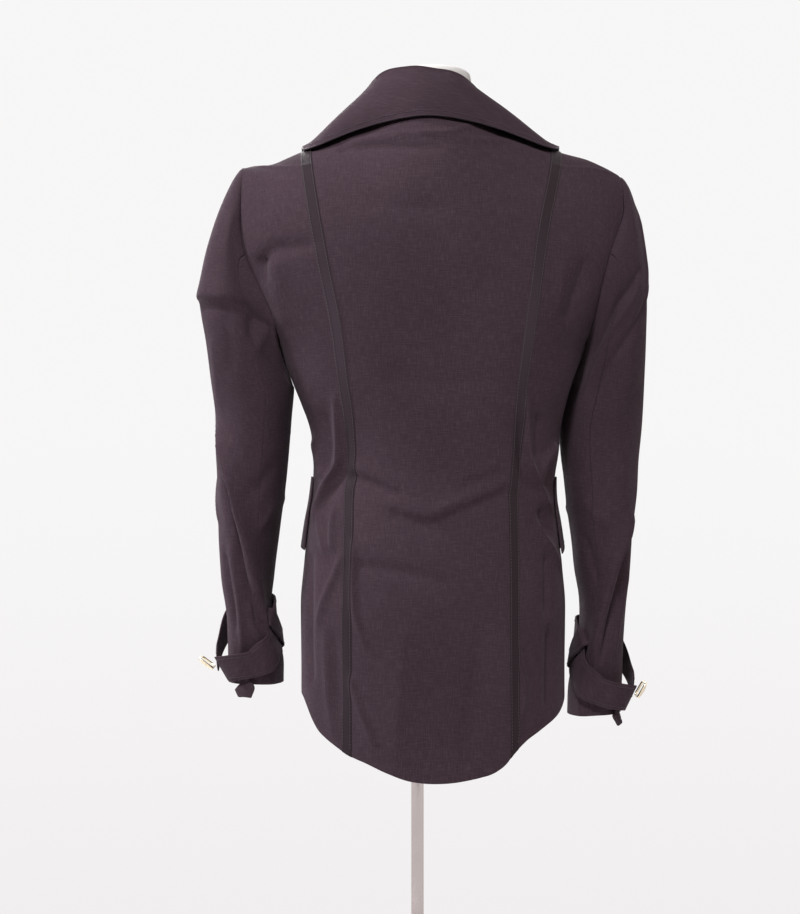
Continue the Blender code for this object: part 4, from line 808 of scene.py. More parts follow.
def refined(grid, row_steps, col_steps, closed=False):
    """The grid with cubic steps between its rows and its columns."""
    def along(points, steps, loop):
        if loop:
            ends = np.concatenate((points[-1:], points, points[:2]))
        else:
            before = (2 * points[0] - points[1])[None]
            after = (2 * points[-1] - points[-2])[None]
            ends = np.concatenate((before, points, after))
        out = []
        for i in range(len(ends) - 3):
            p0, p1, p2, p3 = ends[i:i + 4]
            for k in range(steps):
                t = k / steps
                out.append(0.5 * (2 * p1 + (p2 - p0) * t + (2 * p0 - 5 * p1 + 4 * p2 - p3) * t * t
                                  + (3 * p1 - p0 - 3 * p2 + p3) * t ** 3))
        if not loop:
            out.append(points[-1])
        return np.array(out)

    rows = along(grid, row_steps, False)
    return along(rows.transpose(1, 0, 2), col_steps, closed).transpose(1, 0, 2)


def grid_normals(grid, outside, closed=False):
    """Unit normals of a grid, turned the way that most of them agree with `outside`."""
    up = np.gradient(grid, axis=0)
    if closed:
        along = np.roll(grid, -1, axis=1) - np.roll(grid, 1, axis=1)
    else:
        along = np.gradient(grid, axis=1)
    n = np.cross(along, up)
    n = n / np.maximum(np.linalg.norm(n, axis=2, keepdims=True), 1e-12)
    return n if (n * outside).sum() > 0 else -n


def rounded(path):
    """The path with its corners cut twice."""
    for _ in range(2):
        cut = [path[0]]
        for (a0, b0), (a1, b1) in zip(path, path[1:]):
            cut += [(a0 * near + a1 * (1 - near), b0 * near + b1 * (1 - near)) for near in (0.75, 0.25)]
        path = cut + [path[-1]]
    return path


def folds(a, b, table, scale=1.0):
    """Height of the creases of a table at coordinates a, b; scale turns a's unit into metres."""
    total = np.zeros_like(a)
    for height, left, right, *corners in table:
        path = rounded(corners)
        near = np.full_like(a, 1e9)
        place = np.zeros_like(a)
        wide = np.full_like(a, left)
        spans = len(path) - 1
        for k in range(spans):
            (a0, b0), (a1, b1) = path[k], path[k + 1]
            da = (a1 - a0) * scale
            db = b1 - b0
            qa = (a - a0) * scale
            qb = b - b0
            t = np.clip((qa * da + qb * db) / (da * da + db * db), 0, 1)
            away = np.hypot(qa - t * da, qb - t * db)
            nearer = away < near
            near = np.where(nearer, away, near)
            place = np.where(nearer, (k + t) / spans, place)
            wide = np.where(nearer, np.where(da * qb - db * qa > 0, left, right), wide)
        ends = np.sqrt(np.sin(np.pi * np.clip(place, 0.02, 0.98)))
        total += height * np.exp(-(near / wide) ** CREASE_POWER) * ends
    return total


def ripple(a, b, seed):
    """Slight unevenness of hung cloth, from -1 to 1."""
    total = np.zeros_like(a)
    for k in range(1, 8):
        turn = seed * 1.7 + k * 2.4
        rate = 22 * 1.38 ** k
        wave = np.sin(rate * (a * math.cos(turn) + 0.6 * b * math.sin(turn)) + seed + 3.1 * k)
        total += wave / (1 + 0.5 * k)
    return total / 3.0


def edge_dip(grid, width, depth):
    """Depth of the seam valley along the last column."""
    away = np.linalg.norm(grid - grid[:, -1:], axis=2)
    return -depth * np.exp(-(away / width) ** 2)


def lengths(grid, row):
    """Cloth coordinates in metres: along each row, and up each column from one row."""
    across = np.linalg.norm(np.diff(grid, axis=1), axis=2)
    u = np.concatenate((np.zeros((grid.shape[0], 1)), np.cumsum(across, axis=1)), axis=1)
    up = np.linalg.norm(np.diff(grid, axis=0), axis=2)
    v = np.concatenate((np.zeros((1, grid.shape[1])), np.cumsum(up, axis=0)), axis=0)
    return u - u[:, :1], v - v[row][None, :]


def distances(points):
    """Distance along a line of points, from 0 at the first."""
    return np.concatenate(((0.0,), np.cumsum(np.linalg.norm(np.diff(points, axis=0), axis=1))))


def sample(at, values, s):
    """Rows of values that lie at the distances `at`, read at the distance s."""
    return np.array([np.interp(s, at, values[:, c]) for c in range(values.shape[1])])


def add_object(name, verts, faces, slot_name, nodes=(), uv=None, looks=None):
    """A smooth mesh that rides on the body, and stands for CAD nodes where any are named."""
    mesh = bpy.data.meshes.new(name)
    mesh.from_pydata(np.array(verts, float).tolist(), [], faces)
    if uv is not None:
        layer = mesh.uv_layers.new(name="cloth")
        index = np.zeros(len(mesh.loops), int)
        mesh.loops.foreach_get("vertex_index", index)
        layer.data.foreach_set("uv", np.array(uv, float)[index].ravel())
    mesh.materials.append(LOOKS[looks or slot_name])
    mesh.shade_smooth()
    made = bpy.data.objects.new(name, mesh)
    bpy.context.scene.collection.objects.link(made)
    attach(made, "root")
    if nodes:
        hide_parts(*nodes)
    return made


def round_edges(made, width, segments, angle):
    """A bevel on the edges sharper than an angle in degrees."""
    soft = made.modifiers.new("edge", "BEVEL")
    soft.width = width
    soft.segments = segments
    soft.limit_method = "ANGLE"
    soft.angle_limit = math.radians(angle)


def grid_faces(rows, cols, loop_rows=False, loop_cols=True):
    """Quads between the points of a grid that are numbered along its rows."""
    faces = []
    for i in range(rows if loop_rows else rows - 1):
        a = i * cols
        b = (i + 1) % rows * cols
        for j in range(cols if loop_cols else cols - 1):
            k = (j + 1) % cols
            faces.append((a + j, a + k, b + k, b + j))
    return faces


def capped_faces(rows, cols):
    """Quads round a stack of rings, and a face over each end."""
    last = (rows - 1) * cols
    return grid_faces(rows, cols) + [tuple(range(cols - 1, -1, -1)), tuple(range(last, last + cols))]


def cloth_sheet(name, grid, outside, uv, stands_for,
                wall=CLOTH, bevel=SHEET_BEVEL, slot_name="coat_cloth"):
    """A thin shell of cloth with its outer side on the grid, mapped by the given cloth coordinates."""
    rows, cols = grid.shape[:2]
    n = grid_normals(grid, outside)
    raw = np.cross(grid[0, 1] - grid[0, 0], grid[1, 0] - grid[0, 0])
    faces = grid_faces(rows, cols, loop_cols=False)
    if float(np.dot(raw, n[0, 0])) <= 0:
        faces = [face[::-1] for face in faces]
    flat_uv = np.stack((uv[0].ravel(), uv[1].ravel()), axis=1)
    made = add_object(name, grid.reshape(-1, 3) + COAT_SHIFT, faces, slot_name, [stands_for], flat_uv)
    solid = made.modifiers.new("wall", "SOLIDIFY")
    solid.thickness = wall
    solid.offset = -1
    solid.use_even_offset = False
    if bevel:
        round_edges(made, bevel, 2, 60)


def tube(points, radius, sides, closed=False):
    """Vertices and faces of a round tube along points; radius is one number or one a point."""
    points = np.array(points, float)
    count = len(points)
    sizes = np.full(count, radius) if np.isscalar(radius) else radius
    if closed:
        ahead = np.roll(points, -1, axis=0) - np.roll(points, 1, axis=0)
    else:
        ahead = np.gradient(points, axis=0)
    verts = []
    side = unit(np.cross(ahead[0], (0.31, 0.17, 0.93)))
    for k in range(count):
        along = unit(ahead[k])
        side = unit(side - along * np.dot(side, along))
        other = np.cross(along, side)
        for s in range(sides):
            a = 2 * math.pi * s / sides
            verts.append(points[k] + (side * math.cos(a) + other * math.sin(a)) * sizes[k])
    return verts, grid_faces(count, sides, loop_rows=True) if closed else capped_faces(count, sides)


def join(parts):
    """One list of vertices and faces from several."""
    verts = []
    faces = []
    for more, them in parts:
        start = len(verts)
        verts += list(more)
        faces += [tuple(start + k for k in face) for face in them]
    return verts, faces


def stitches(line, out):
    """Thread stitches along a line of points, sunk a little into the cloth."""
    at = distances(line)
    made = []
    for k in range(int(at[-1] / STITCH_PITCH)):
        spots = []
        for share in (0.0, 0.2, 0.5, 0.8, 1.0):
            s = (k + 0.1) * STITCH_PITCH + share * STITCH_LONG
            rise = STITCH_RADIUS * (0.9 if 0.1 < share < 0.9 else -0.6)
            spots.append(sample(at, line, s) + unit(sample(at, out, s)) * rise)
        made.append(tube(spots, [STITCH_RADIUS * w for w in (0.5, 1.0, 1.1, 1.0, 0.5)], 5))
    return made


# Materials
def node(tree, kind, inputs=None, **settings):
    """A node with its settings made and its inputs set or linked."""
    made = tree.nodes.new(kind)
    for key, value in settings.items():
        setattr(made, key, value)
    for key, value in (inputs or {}).items():
        if isinstance(value, bpy.types.NodeSocket):
            tree.links.new(value, made.inputs[key])
        else:
            made.inputs[key].default_value = value
    return made


def maths(tree, operation, first, second=0.0):
    """Result of a sum on numbers or sockets."""
    return node(tree, "ShaderNodeMath", {0: first, 1: second}, operation=operation).outputs[0]


def times(tree, first, second):
    """Product of two."""
    return maths(tree, "MULTIPLY", first, second)


def plus(tree, first, second):
    """Sum of two."""
    return maths(tree, "ADD", first, second)


def mix(tree, share, first, second):
    """Colour between two, each a socket or three numbers."""
    ends = [c if isinstance(c, bpy.types.NodeSocket) else (*c, 1.0) for c in (first, second)]
    return node(tree, "ShaderNodeMix", {0: share, 6: ends[0], 7: ends[1]}, data_type="RGBA").outputs[2]


def remap(tree, value, low, high, to_low=0.0, to_high=1.0, kind="LINEAR"):
    """The value moved from one range to another."""
    inputs = {"Value": value, "From Min": low, "From Max": high, "To Min": to_low, "To Max": to_high}
    return node(tree, "ShaderNodeMapRange", inputs, interpolation_type=kind).outputs[0]


def noise(tree, where, scale, detail):
    """Soft noise, about 0 to 1."""
    return node(tree, "ShaderNodeTexNoise", {"Vector": where, "Scale": scale, "Detail": detail}).outputs[0]


def streaks(tree, uv, u_rate, v_rate, detail, low, high):
    """Share, 0 to 1, of streaks of yarn, long one way and thin the other."""
    scaled = node(tree, "ShaderNodeMapping", {"Vector": uv, "Scale": (u_rate, v_rate, 1.0)}).outputs[0]
    return remap(tree, noise(tree, scaled, 1.0, detail), low, high, kind="SMOOTHSTEP")


def start_material(name, inputs):
    """A material, its node tree and its shader, with some of the shader's inputs set."""
    mat = bpy.data.materials.new(name)
    mat.use_nodes = True
    shader = mat.node_tree.nodes["Principled BSDF"]
    for key, value in inputs.items():
        shader.inputs[key].default_value = value
    return mat, mat.node_tree, shader


def finish_material(tree, shader, colour, bump=None):
    """Links the colour, and a bump of height, strength and distance."""
    tree.links.new(colour, shader.inputs["Base Color"])
    if bump:
        height, strength, distance = bump
        made = node(tree, "ShaderNodeBump", {"Height": height, "Strength": strength, "Distance": distance})
        tree.links.new(made.outputs[0], shader.inputs["Normal"])


def cloth_material():
    """A plain weave of slub yarns, in cloth coordinates of metres."""
    mat, tree, shader = start_material("coat_cloth_looks", {
        "Roughness": 0.85, "Sheen Weight": 0.10, "Sheen Roughness": 0.30,
        "Sheen Tint": (0.86, 0.74, 0.82, 1.0), "Specular IOR Level": 0.06})
    uv = node(tree, "ShaderNodeUVMap", uv_map="cloth").outputs[0]
    weft = times(tree, streaks(tree, uv, 75, 820, 3.0, 0.42, 0.74), 0.35)
    warp = times(tree, streaks(tree, uv, 820, 75, 3.0, 0.42, 0.74), 0.38)
    thin_weft = streaks(tree, uv, 160, 2600, 1.0, 0.35, 0.75)
    thin_warp = streaks(tree, uv, 2600, 160, 1.0, 0.35, 0.75)
    pale = plus(tree, plus(tree, weft, warp), times(tree, plus(tree, thin_weft, thin_warp), 0.22))
    pale = node(tree, "ShaderNodeClamp", {0: pale}).outputs[0]
    dim = times(tree, streaks(tree, uv, 70, 1100, 2.0, 0.56, 0.80), 0.5)
    body = mix(tree, pale, (0.050, 0.0308, 0.0398), (0.086, 0.059, 0.072))
    body = mix(tree, dim, body, (0.031, 0.0175, 0.0240))
    shade = remap(tree, streaks(tree, uv, 9, 7, 3.0, 0.30, 0.75), 0.0, 1.0, 0.93, 1.06)
    body = node(tree, "ShaderNodeVectorMath", {0: body, 3: shade}, operation="SCALE").outputs[0]
    parts = node(tree, "ShaderNodeSeparateXYZ", {0: uv}).outputs
    yarns = [maths(tree, "SINE", times(tree, parts[k], 2 * math.pi / YARN)) for k in (0, 1)]
    height = plus(tree, times(tree, times(tree, *yarns), 0.35), times(tree, pale, 0.9))
    finish_material(tree, shader, body, (height, 0.55, 0.00022))
    return mat


def tape_material():
    """Ribbed tape with close crosswise ribs, and a painted sheen: its colour made lighter in a band at the
    height of the blades.
    """
    mat, tree, shader = start_material("seam_tape_looks", {
        "Roughness": 0.50, "Sheen Weight": 0.02, "Specular IOR Level": 0.05})
    uv = node(tree, "ShaderNodeUVMap", uv_map="cloth").outputs[0]
    along = node(tree, "ShaderNodeSeparateXYZ", {0: uv}).outputs[1]
    rib = remap(tree, maths(tree, "SINE", times(tree, along, 2 * math.pi / RIB)), -1.0, 1.0)
    fuzz = streaks(tree, uv, 300, 2200, 2.0, 0.3, 0.8)
    share = plus(tree, times(tree, rib, 0.5), times(tree, fuzz, 0.5))
    colour = mix(tree, share, (0.0265, 0.0185, 0.0220), (0.0415, 0.0290, 0.0345))
    # painted sheen: a lighter colour mixed into the tape in a band up the back at the blades, standing in for
    # the lamps' gloss
    away = times(tree, maths(tree, "SUBTRACT", along, 0.03), 11.0)
    painted_sheen = maths(tree, "POWER", 2.0, times(tree, times(tree, away, away), -1.6))
    colour = mix(tree, times(tree, painted_sheen, 0.75), colour, (0.064, 0.0470, 0.0580))
    finish_material(tree, shader, colour, (share, 0.5, 0.0002))
    return mat


def thread_material():
    """Matt sewing thread, a little lighter than the cloth."""
    mat, tree, shader = start_material("thread_looks", {"Roughness": 0.6})
    where = node(tree, "ShaderNodeTexCoord").outputs["Object"]
    fleck = noise(tree, where, 900.0, 2.0)
    finish_material(tree, shader, mix(tree, fleck, (0.044, 0.034, 0.038), (0.074, 0.058, 0.065)))
    return mat


def metal_material(name, base, worn, rough, scale):
    """Polished metal with faint smears and tiny pits."""
    mat, tree, shader = start_material(name, {"Metallic": 1.0})
    where = node(tree, "ShaderNodeTexCoord").outputs["Object"]
    smear = noise(tree, where, scale, 4.0)
    gloss = remap(tree, smear, 0.0, 1.0, rough * 0.7, rough * 1.4)
    tree.links.new(gloss, shader.inputs["Roughness"])
    pits = noise(tree, where, scale * 14, 2.0)
    finish_material(tree, shader, mix(tree, smear, base, worn), (pits, 0.06, 0.0002))
    return mat


def form_material():
    """Stretched pale jersey over the form."""
    mat, tree, shader = start_material("form_cover_looks", {"Roughness": 0.8, "Sheen Weight": 0.2})
    where = node(tree, "ShaderNodeTexCoord").outputs["Object"]
    inputs = {"Vector": where, "Scale": 420.0, "Distortion": 1.5, "Detail": 1.0}
    knit = node(tree, "ShaderNodeTexWave", inputs, bands_direction="Z").outputs[1]
    share = plus(tree, times(tree, knit, 0.4), times(tree, noise(tree, where, 18.0, 4.0), 0.6))
    colour = mix(tree, share, (0.66, 0.64, 0.60), (0.82, 0.80, 0.77))
    finish_material(tree, shader, colour, (knit, 0.25, 0.0003))
    return mat


# materials by the slot that wears them; the thread is the cloth slot's too
LOOKS = {
    "coat_cloth": cloth_material(),
    "seam_tape": tape_material(),
    "thread": thread_material(),
    "pale_gold": metal_material("pale_gold_looks", (0.83, 0.71, 0.50), (0.93, 0.84, 0.66), 0.22, 160.0),
    "chrome": metal_material("chrome_looks", (0.50, 0.44, 0.43), (0.60, 0.53, 0.52), 0.24, 30.0),
    "form_cover": form_material(),
}


def make_camera():
    """The photo's camera, level, behind the coat and looking at its back."""
    data = bpy.data.cameras.new("camera")
    data.sensor_width = SENSOR
    data.lens = FOCAL_PX / PICTURE_PX * SENSOR
    data.clip_start = 0.05
    data.clip_end = 60.0
    camera = bpy.data.objects.new("camera", data)
    camera.location = CAMERA_PLACE
    camera.rotation_euler = (math.radians(90), 0.0, math.radians(180))
    bpy.context.scene.collection.objects.link(camera)
    bpy.context.scene.camera = camera


def soft_light(name, place, aim_z, size, power, colour):
    """A round lamp that looks at the coat's middle line at a height."""
    data = bpy.data.lights.new(name, "AREA")
    data.shape = "DISK"
    data.size = size
    data.energy = power
    data.color = colour
    made = bpy.data.objects.new(name, data)
    made.location = place
    ahead = np.array((0.0, 0.0, aim_z)) - np.array(place, float)
    flat = math.hypot(ahead[0], ahead[1])
    made.rotation_euler = (math.atan2(flat, -ahead[2]), 0.0, math.atan2(ahead[1], ahead[0]) - math.pi / 2)
    bpy.context.scene.collection.objects.link(made)


def make_studio():
    """World, floor and lamps."""
    world = bpy.data.worlds.new("studio")
    world.use_nodes = True
    tree = world.node_tree
    back = tree.nodes["Background"]
    where = node(tree, "ShaderNodeTexCoord").outputs["Generated"]
    height = node(tree, "ShaderNodeSeparateXYZ", {0: where}).outputs[2]
    sky = mix(tree, remap(tree, height, SKY_LOW, SKY_HIGH, kind="SMOOTHSTEP"), SKY_BELOW, SKY_ABOVE)
    paper = mix(tree, remap(tree, height, -0.20, 0.02, kind="SMOOTHSTEP"), SKY_SEEN_LOW, SKY_SEEN)
    rays = node(tree, "ShaderNodeLightPath").outputs
    seen = maths(tree, "MAXIMUM", rays["Is Camera Ray"], rays["Is Glossy Ray"])
    tree.links.new(mix(tree, seen, sky, paper), back.inputs["Color"])
    back.inputs["Strength"].default_value = 1.0
    bpy.context.scene.world = world
    bpy.context.scene.view_settings.view_transform = "Standard"
    sides = 96
    verts = [(0.0, 0.0, FLOOR_Z)]
    for k in range(sides):
        a = 2 * math.pi * k / sides
        verts.append((FLOOR_RADIUS * math.cos(a), FLOOR_RADIUS * math.sin(a), FLOOR_Z))
    mesh = bpy.data.meshes.new("floor")
    mesh.from_pydata(verts, [], [(0, k + 1, (k + 1) % sides + 1) for k in range(sides)])
    mat, tree, shader = start_material("floor_looks", {"Roughness": 0.9})
    where = node(tree, "ShaderNodeTexCoord").outputs["Object"]
    cloud = noise(tree, where, 3.0, 4.0)
    finish_material(tree, shader, mix(tree, cloud, (0.84, 0.83, 0.83), (0.88, 0.87, 0.87)))
    mesh.materials.append(mat)
    floor = bpy.data.objects.new("floor", mesh)
    bpy.context.scene.collection.objects.link(floor)
    for lamp in LAMPS:
        soft_light(*lamp)


def body_cloth():
    """The five body panels and the two tapes; returns the halves of the coat and the stitches."""
    halves = {}
    back_shares = [k / CENTRE_COLUMNS for k in range(CENTRE_COLUMNS + 1)]
    back_shares += [1 + (k + 1) / SIDE_COLUMNS for k in range(SIDE_COLUMNS)]
    front_shares = [k / FRONT_COLUMNS for k in range(FRONT_COLUMNS + 1)] + [2 + x for x in LAP]
    for side in (1, -1):
        back = back_half(side, back_shares)
        front = front_half(side, front_shares)
        for grid in (back, front):
            for row in range(SKIRT_ROWS + 1):
                grid[row, :, 0] += [curve(LEAN, z) for z in grid[row, :, 2]]
        fine = refined(back, ROW_STEPS, BACK_STEPS)
        n = grid_normals(fine, fine * OUT_BODY)
        lift = CREASE_SCALE * folds(fine[:, :, 0], fine[:, :, 2], BACK_CREASES)
        lift += RIPPLE_BACK * ripple(fine[:, :, 0], fine[:, :, 2], 1.0)
        lift += edge_dip(fine, *SEAM_VALLEY)
        fade = np.clip((fine.shape[1] - 1 - np.arange(fine.shape[1])) / 4.0, 0, 1)[None, :]
        fine = fine + n * (lift * (0.15 + 0.85 * fade))[:, :, None]
        fine_front = refined(front, ROW_STEPS, FRONT_STEPS)
        n = grid_normals(fine_front, fine_front * OUT_BODY)
        lift = CREASE_SCALE * folds(fine_front[:, :, 0], fine_front[:, :, 2], FRONT_CREASES)
        lift += RIPPLE_FRONT * ripple(fine_front[:, :, 0], fine_front[:, :, 2], 2.0)
        lift *= np.clip(np.arange(fine_front.shape[1]) / 6.0, 0, 1)[None, :]
        if side == -1:
            share = np.clip((fine_front[:, :, 0] + LAP_START + LAP_RAMP) / LAP_RAMP, 0, 1)
            lift += LAP_LIFT * share * share * (3 - 2 * share)
        else:
            lift = np.where(fine_front[:, :, 0] < 0.034, 0.0, lift)
        fine_front = fine_front + n * lift[:, :, None]
        halves[side] = {"back": back, "front": front, "fine": fine, "front_fine": fine_front}
    seam = CENTRE_COLUMNS * BACK_STEPS
    anchor = SKIRT_ROWS * ROW_STEPS
    centre = np.concatenate((halves[1]["fine"][:, seam:0:-1], halves[-1]["fine"][:, :seam + 1]), axis=1)
    u, v = lengths(centre, anchor)
    u = u - u[:, seam][:, None]
    cloth_sheet("cloth_back_centre", centre, centre * OUT_BODY, (u, v + UNDERARM_Z), "back_centre")
    stitched = []
    for side, tag in ((1, "L"), (-1, "R")):
        data = halves[side]
        panels = (("back_side_", data["fine"][:, seam:], 0.31), ("front_", data["front_fine"], 0.77))
        for kind, cloth, start in panels:
            panel = cloth.copy()
            panel[:, 0] += (panel[:, 1] - panel[:, 0]) * 0.1
            u, v = lengths(panel, anchor)
            cloth_sheet("cloth_" + kind + tag, panel, panel * OUT_BODY, (u * side + start, v + UNDERARM_Z),
                        kind + tag)
        stitched += tape(data["fine"], seam, tag)
    return halves, stitched


def tape(fine, seam, tag):
    """The tape over one back seam, and its two rows of stitches."""
    n = grid_normals(fine, fine * OUT_BODY)
    grid = np.zeros((fine.shape[0], len(TAPE_COLUMNS), 3))
    outs = np.zeros_like(grid)
    for row in range(fine.shape[0]):
        at = distances(fine[row])
        for k, (place, rise) in enumerate(zip(TAPE_COLUMNS, TAPE_RISE)):
            s = at[seam] + place * TAPE_HALF
            outs[row, k] = unit(sample(at, n[row], s))
            grid[row, k] = sample(at, fine[row], s) + outs[row, k] * rise
    cloth_sheet("tape_looks_" + tag, grid, grid * OUT_BODY, lengths(grid, SKIRT_ROWS * ROW_STEPS),
                "tape_back_" + tag,
                wall=TAPE_SHELL, bevel=0.0, slot_name="seam_tape")
    return stitches(grid[2:-2, 2], outs[2:-2, 2]) + stitches(grid[2:-2, 6], outs[2:-2, 6])


def sleeve_cloth(halves):
    """Upper and under sleeve of both sides, with their creases."""
    for side, tag in ((1, "L"), (-1, "R")):
        back_edge = halves[side]["back"][SKIRT_ROWS:, -1]
        front_edge = halves[side]["front"][SKIRT_ROWS:, 0]
        edge = list(back_edge[::-1]) + list(front_edge[1:-1])
        total = len(edge) * SLEEVE_STEPS
        fine = refined(sleeve_grid(side, edge), ROW_STEPS, SLEEVE_STEPS, closed=True)
        centre = fine.mean(axis=1)[:, None, :]
        n = grid_normals(fine, fine - centre, closed=True)
        z = fine[:, :, 2]
        turn = np.degrees(2 * np.pi * np.arange(total) / total)[None, :] + 0 * z
        lift = np.zeros_like(z)
        for whole in (-360, 0):
            creases = folds(turn + whole, z, SLEEVE_CREASES[side], math.radians(1) * SLEEVE_RADIUS)
            lift += SLEEVE_CREASE_SCALE * creases
        lift += RIPPLE_BACK * ripple(np.sin(np.radians(turn)) * 0.05, z, 3.0 + side)
        rows = np.arange(fine.shape[0])
        calm = np.clip(rows / (2.5 * ROW_STEPS), 0, 1)[:, None]
        low = np.clip((fine.shape[0] - 1 - rows) / 8.0, 0, 1)[:, None]
        lift *= calm * (0.3 + 0.7 * low)
        fine = fine + n * lift[:, :, None]
        # the armhole edge: rolled in at the seam, then tucked under the body's cloth
        roll = np.exp(-(np.linalg.norm(fine - fine[:1], axis=2) / 0.003) ** 2)
        fine = fine - n * (roll * 0.0006)[:, :, None]
        fine[0] -= 2.2 * (fine[1] - fine[0]) / np.linalg.norm(fine[1] - fine[0], axis=1)[:, None] * 0.0006
        fine[0] -= n[0] * 0.0008
        first, last = (column * SLEEVE_STEPS for column in UNDER_COLUMNS)
        spans = {
            "under": list(range(first, last + 1)),
            "upper": list(range(last, total)) + list(range(0, first + 1)),
        }
        for kind, cols in spans.items():
            piece = fine[:, cols].copy()
            piece[:, 0] += (piece[:, 1] - piece[:, 0]) * 0.06
            piece[:, -1] += (piece[:, -2] - piece[:, -1]) * 0.06
            u, v = lengths(piece, -1)
            stands_for = "sleeve_%s_%s" % (kind, tag)
            cloth_sheet("cloth_" + stands_for, piece, (fine - centre)[:, cols], (u + 0.5, v), stands_for)


def settle(fine, halves):
    """The collar's fall let down until its free edge is close over the back."""
    body = np.concatenate([halves[side]["fine"].reshape(-1, 3) for side in (1, -1)])
    rows, cols = fine.shape[:2]
    moves = np.zeros(cols)
    for col in range(cols):
        v = 2 * col / (cols - 1) - 1
        edge = fine[-1, col]
        near = np.hypot(body[:, 0] - edge[0], body[:, 2] - edge[2]) < 0.006
        if near.any() and abs(v) < 0.82:
            stand = COLLAR_CLEAR + COLLAR_LIFT * step01((-v - 0.20) / 0.4)
            drop = max(0.0, edge[1] - body[near, 1].max() - stand)
            moves[col] = drop * (1 - step01((abs(v) - 0.62) / 0.2))
    moves = np.convolve(np.pad(moves, 10, mode="edge"), np.ones(21) / 21, mode="valid")
    share = np.clip((np.arange(rows) / (rows - 1) - 0.45) / 0.55, 0, 1) ** 1.4
    made = fine.copy()
    made[:, :, 1] -= share[:, None] * moves[None, :]
    return made


def step01(x):
    """Smooth step from 0 to 1."""
    x = min(1.0, max(0.0, x))
    return x * x * (3 - 2 * x)


def collar_cloth(halves):
    """Collar and its bound edge; returns its stitches."""
    places = [2 * k / COLLAR_COLUMNS - 1 for k in range(COLLAR_COLUMNS + 1)]
    grid = np.array([collar_section(abs(v), 1 if v >= 0 else -1) for v in places]).transpose(1, 0, 2)
    fine = settle(refined(grid, ROW_STEPS, BACK_STEPS), halves)
    n = grid_normals(fine, np.array((0.0, 0.3, 1.0)))
    u, v = lengths(fine, -1)
    calm = np.clip(v + 0.12, 0, 0.02) / 0.02
    fine = fine + n * (RIPPLE_COLLAR * ripple(u, v, 5.0) * calm)[:, :, None]
    cloth_sheet("cloth_collar", fine, n, (u, v), "collar")
    edge = fine[-1] - n[-1] * 0.0008
    verts, faces = tube(edge + COAT_SHIFT, BINDING_RADIUS, BINDING_SIDES)
    along = distances(edge)
    uv = [(along[k // BINDING_SIDES], 0.0009 * (k % BINDING_SIDES)) for k in range(len(verts))]
    # the binding wears the tape's material, and with it most of the tape's painted sheen
    add_object("collar_binding", verts, faces, "seam_tape", uv=uv)
    return stitches(fine[-3], n[-3])


def cuffs():
    """Straps, loops, tails, buckles, prongs and eyelets of both cuffs; returns the stitches."""
    made = []
    for side, tag in ((1, "L"), (-1, "R")):
        path = smooth_path(STRAP_PATH[side], STRAP_STEPS)
        half = [STRAP_WIDTH / 2] * len(path)
        made += strap_piece("strap", "cuff_strap_", side, tag, path, half, STRAP_WALL, STRAP_SHELL)
        path = smooth_path(TAIL_PATH[side], TAIL_STEPS)
        half = [TAIL_WIDTH / 2 * curve(TAIL_SHAPE, k / TAIL_STEPS) for k in range(TAIL_STEPS + 1)]
        made += strap_piece("tail", "strap_tail_", side, tag, path, half, STRAP_WALL, STRAP_SHELL)
        turn, z, stand = LOOP_PLACE[side]
        profile = ((0, -0.0260, 0.0008), (1, -0.0210, 0.0012), (2, -0.0170, stand), (3, 0.0, stand + 0.0006),
                   (4, 0.0170, stand), (5, 0.0210, 0.0012), (6, 0.0260, 0.0008))
        path = []
        for k in range(LOOP_STEPS + 1):
            place = k * (len(profile) - 1) / LOOP_STEPS
            t, h = walk(side, math.radians(turn), z, LOOP_SLANT, curve(profile, place, 1))
            path.append((math.degrees(t), h, curve(profile, place, 2)))
        half = [LOOP_WIDTH / 2] * len(path)
        made += strap_piece("loop", "belt_loop_", side, tag, path, half, LOOP_WALL, LOOP_SHELL)
        buckle(side, tag)
    return made


def strap_piece(name, stands_for, side, tag, path, half, rise, wall):
    """A band of cloth along a path, its outside a rise above it; returns its edge stitches."""
    outer, inner = band(path, half, rise, side, FINE_COLUMNS)
    up = outer - inner
    outside = up / np.maximum(np.linalg.norm(up, axis=2, keepdims=True), 1e-9)
    grid = outer.transpose(1, 0, 2)
    cloth_sheet("cloth_%s_%s" % (name, tag), grid, outside.transpose(1, 0, 2), lengths(grid, 0),
                stands_for + tag, wall=wall, bevel=SMALL_BEVEL)
    return stitches(outer[1:-1, 1], outside[1:-1, 1]) + stitches(outer[1:-1, 7], outside[1:-1, 7])


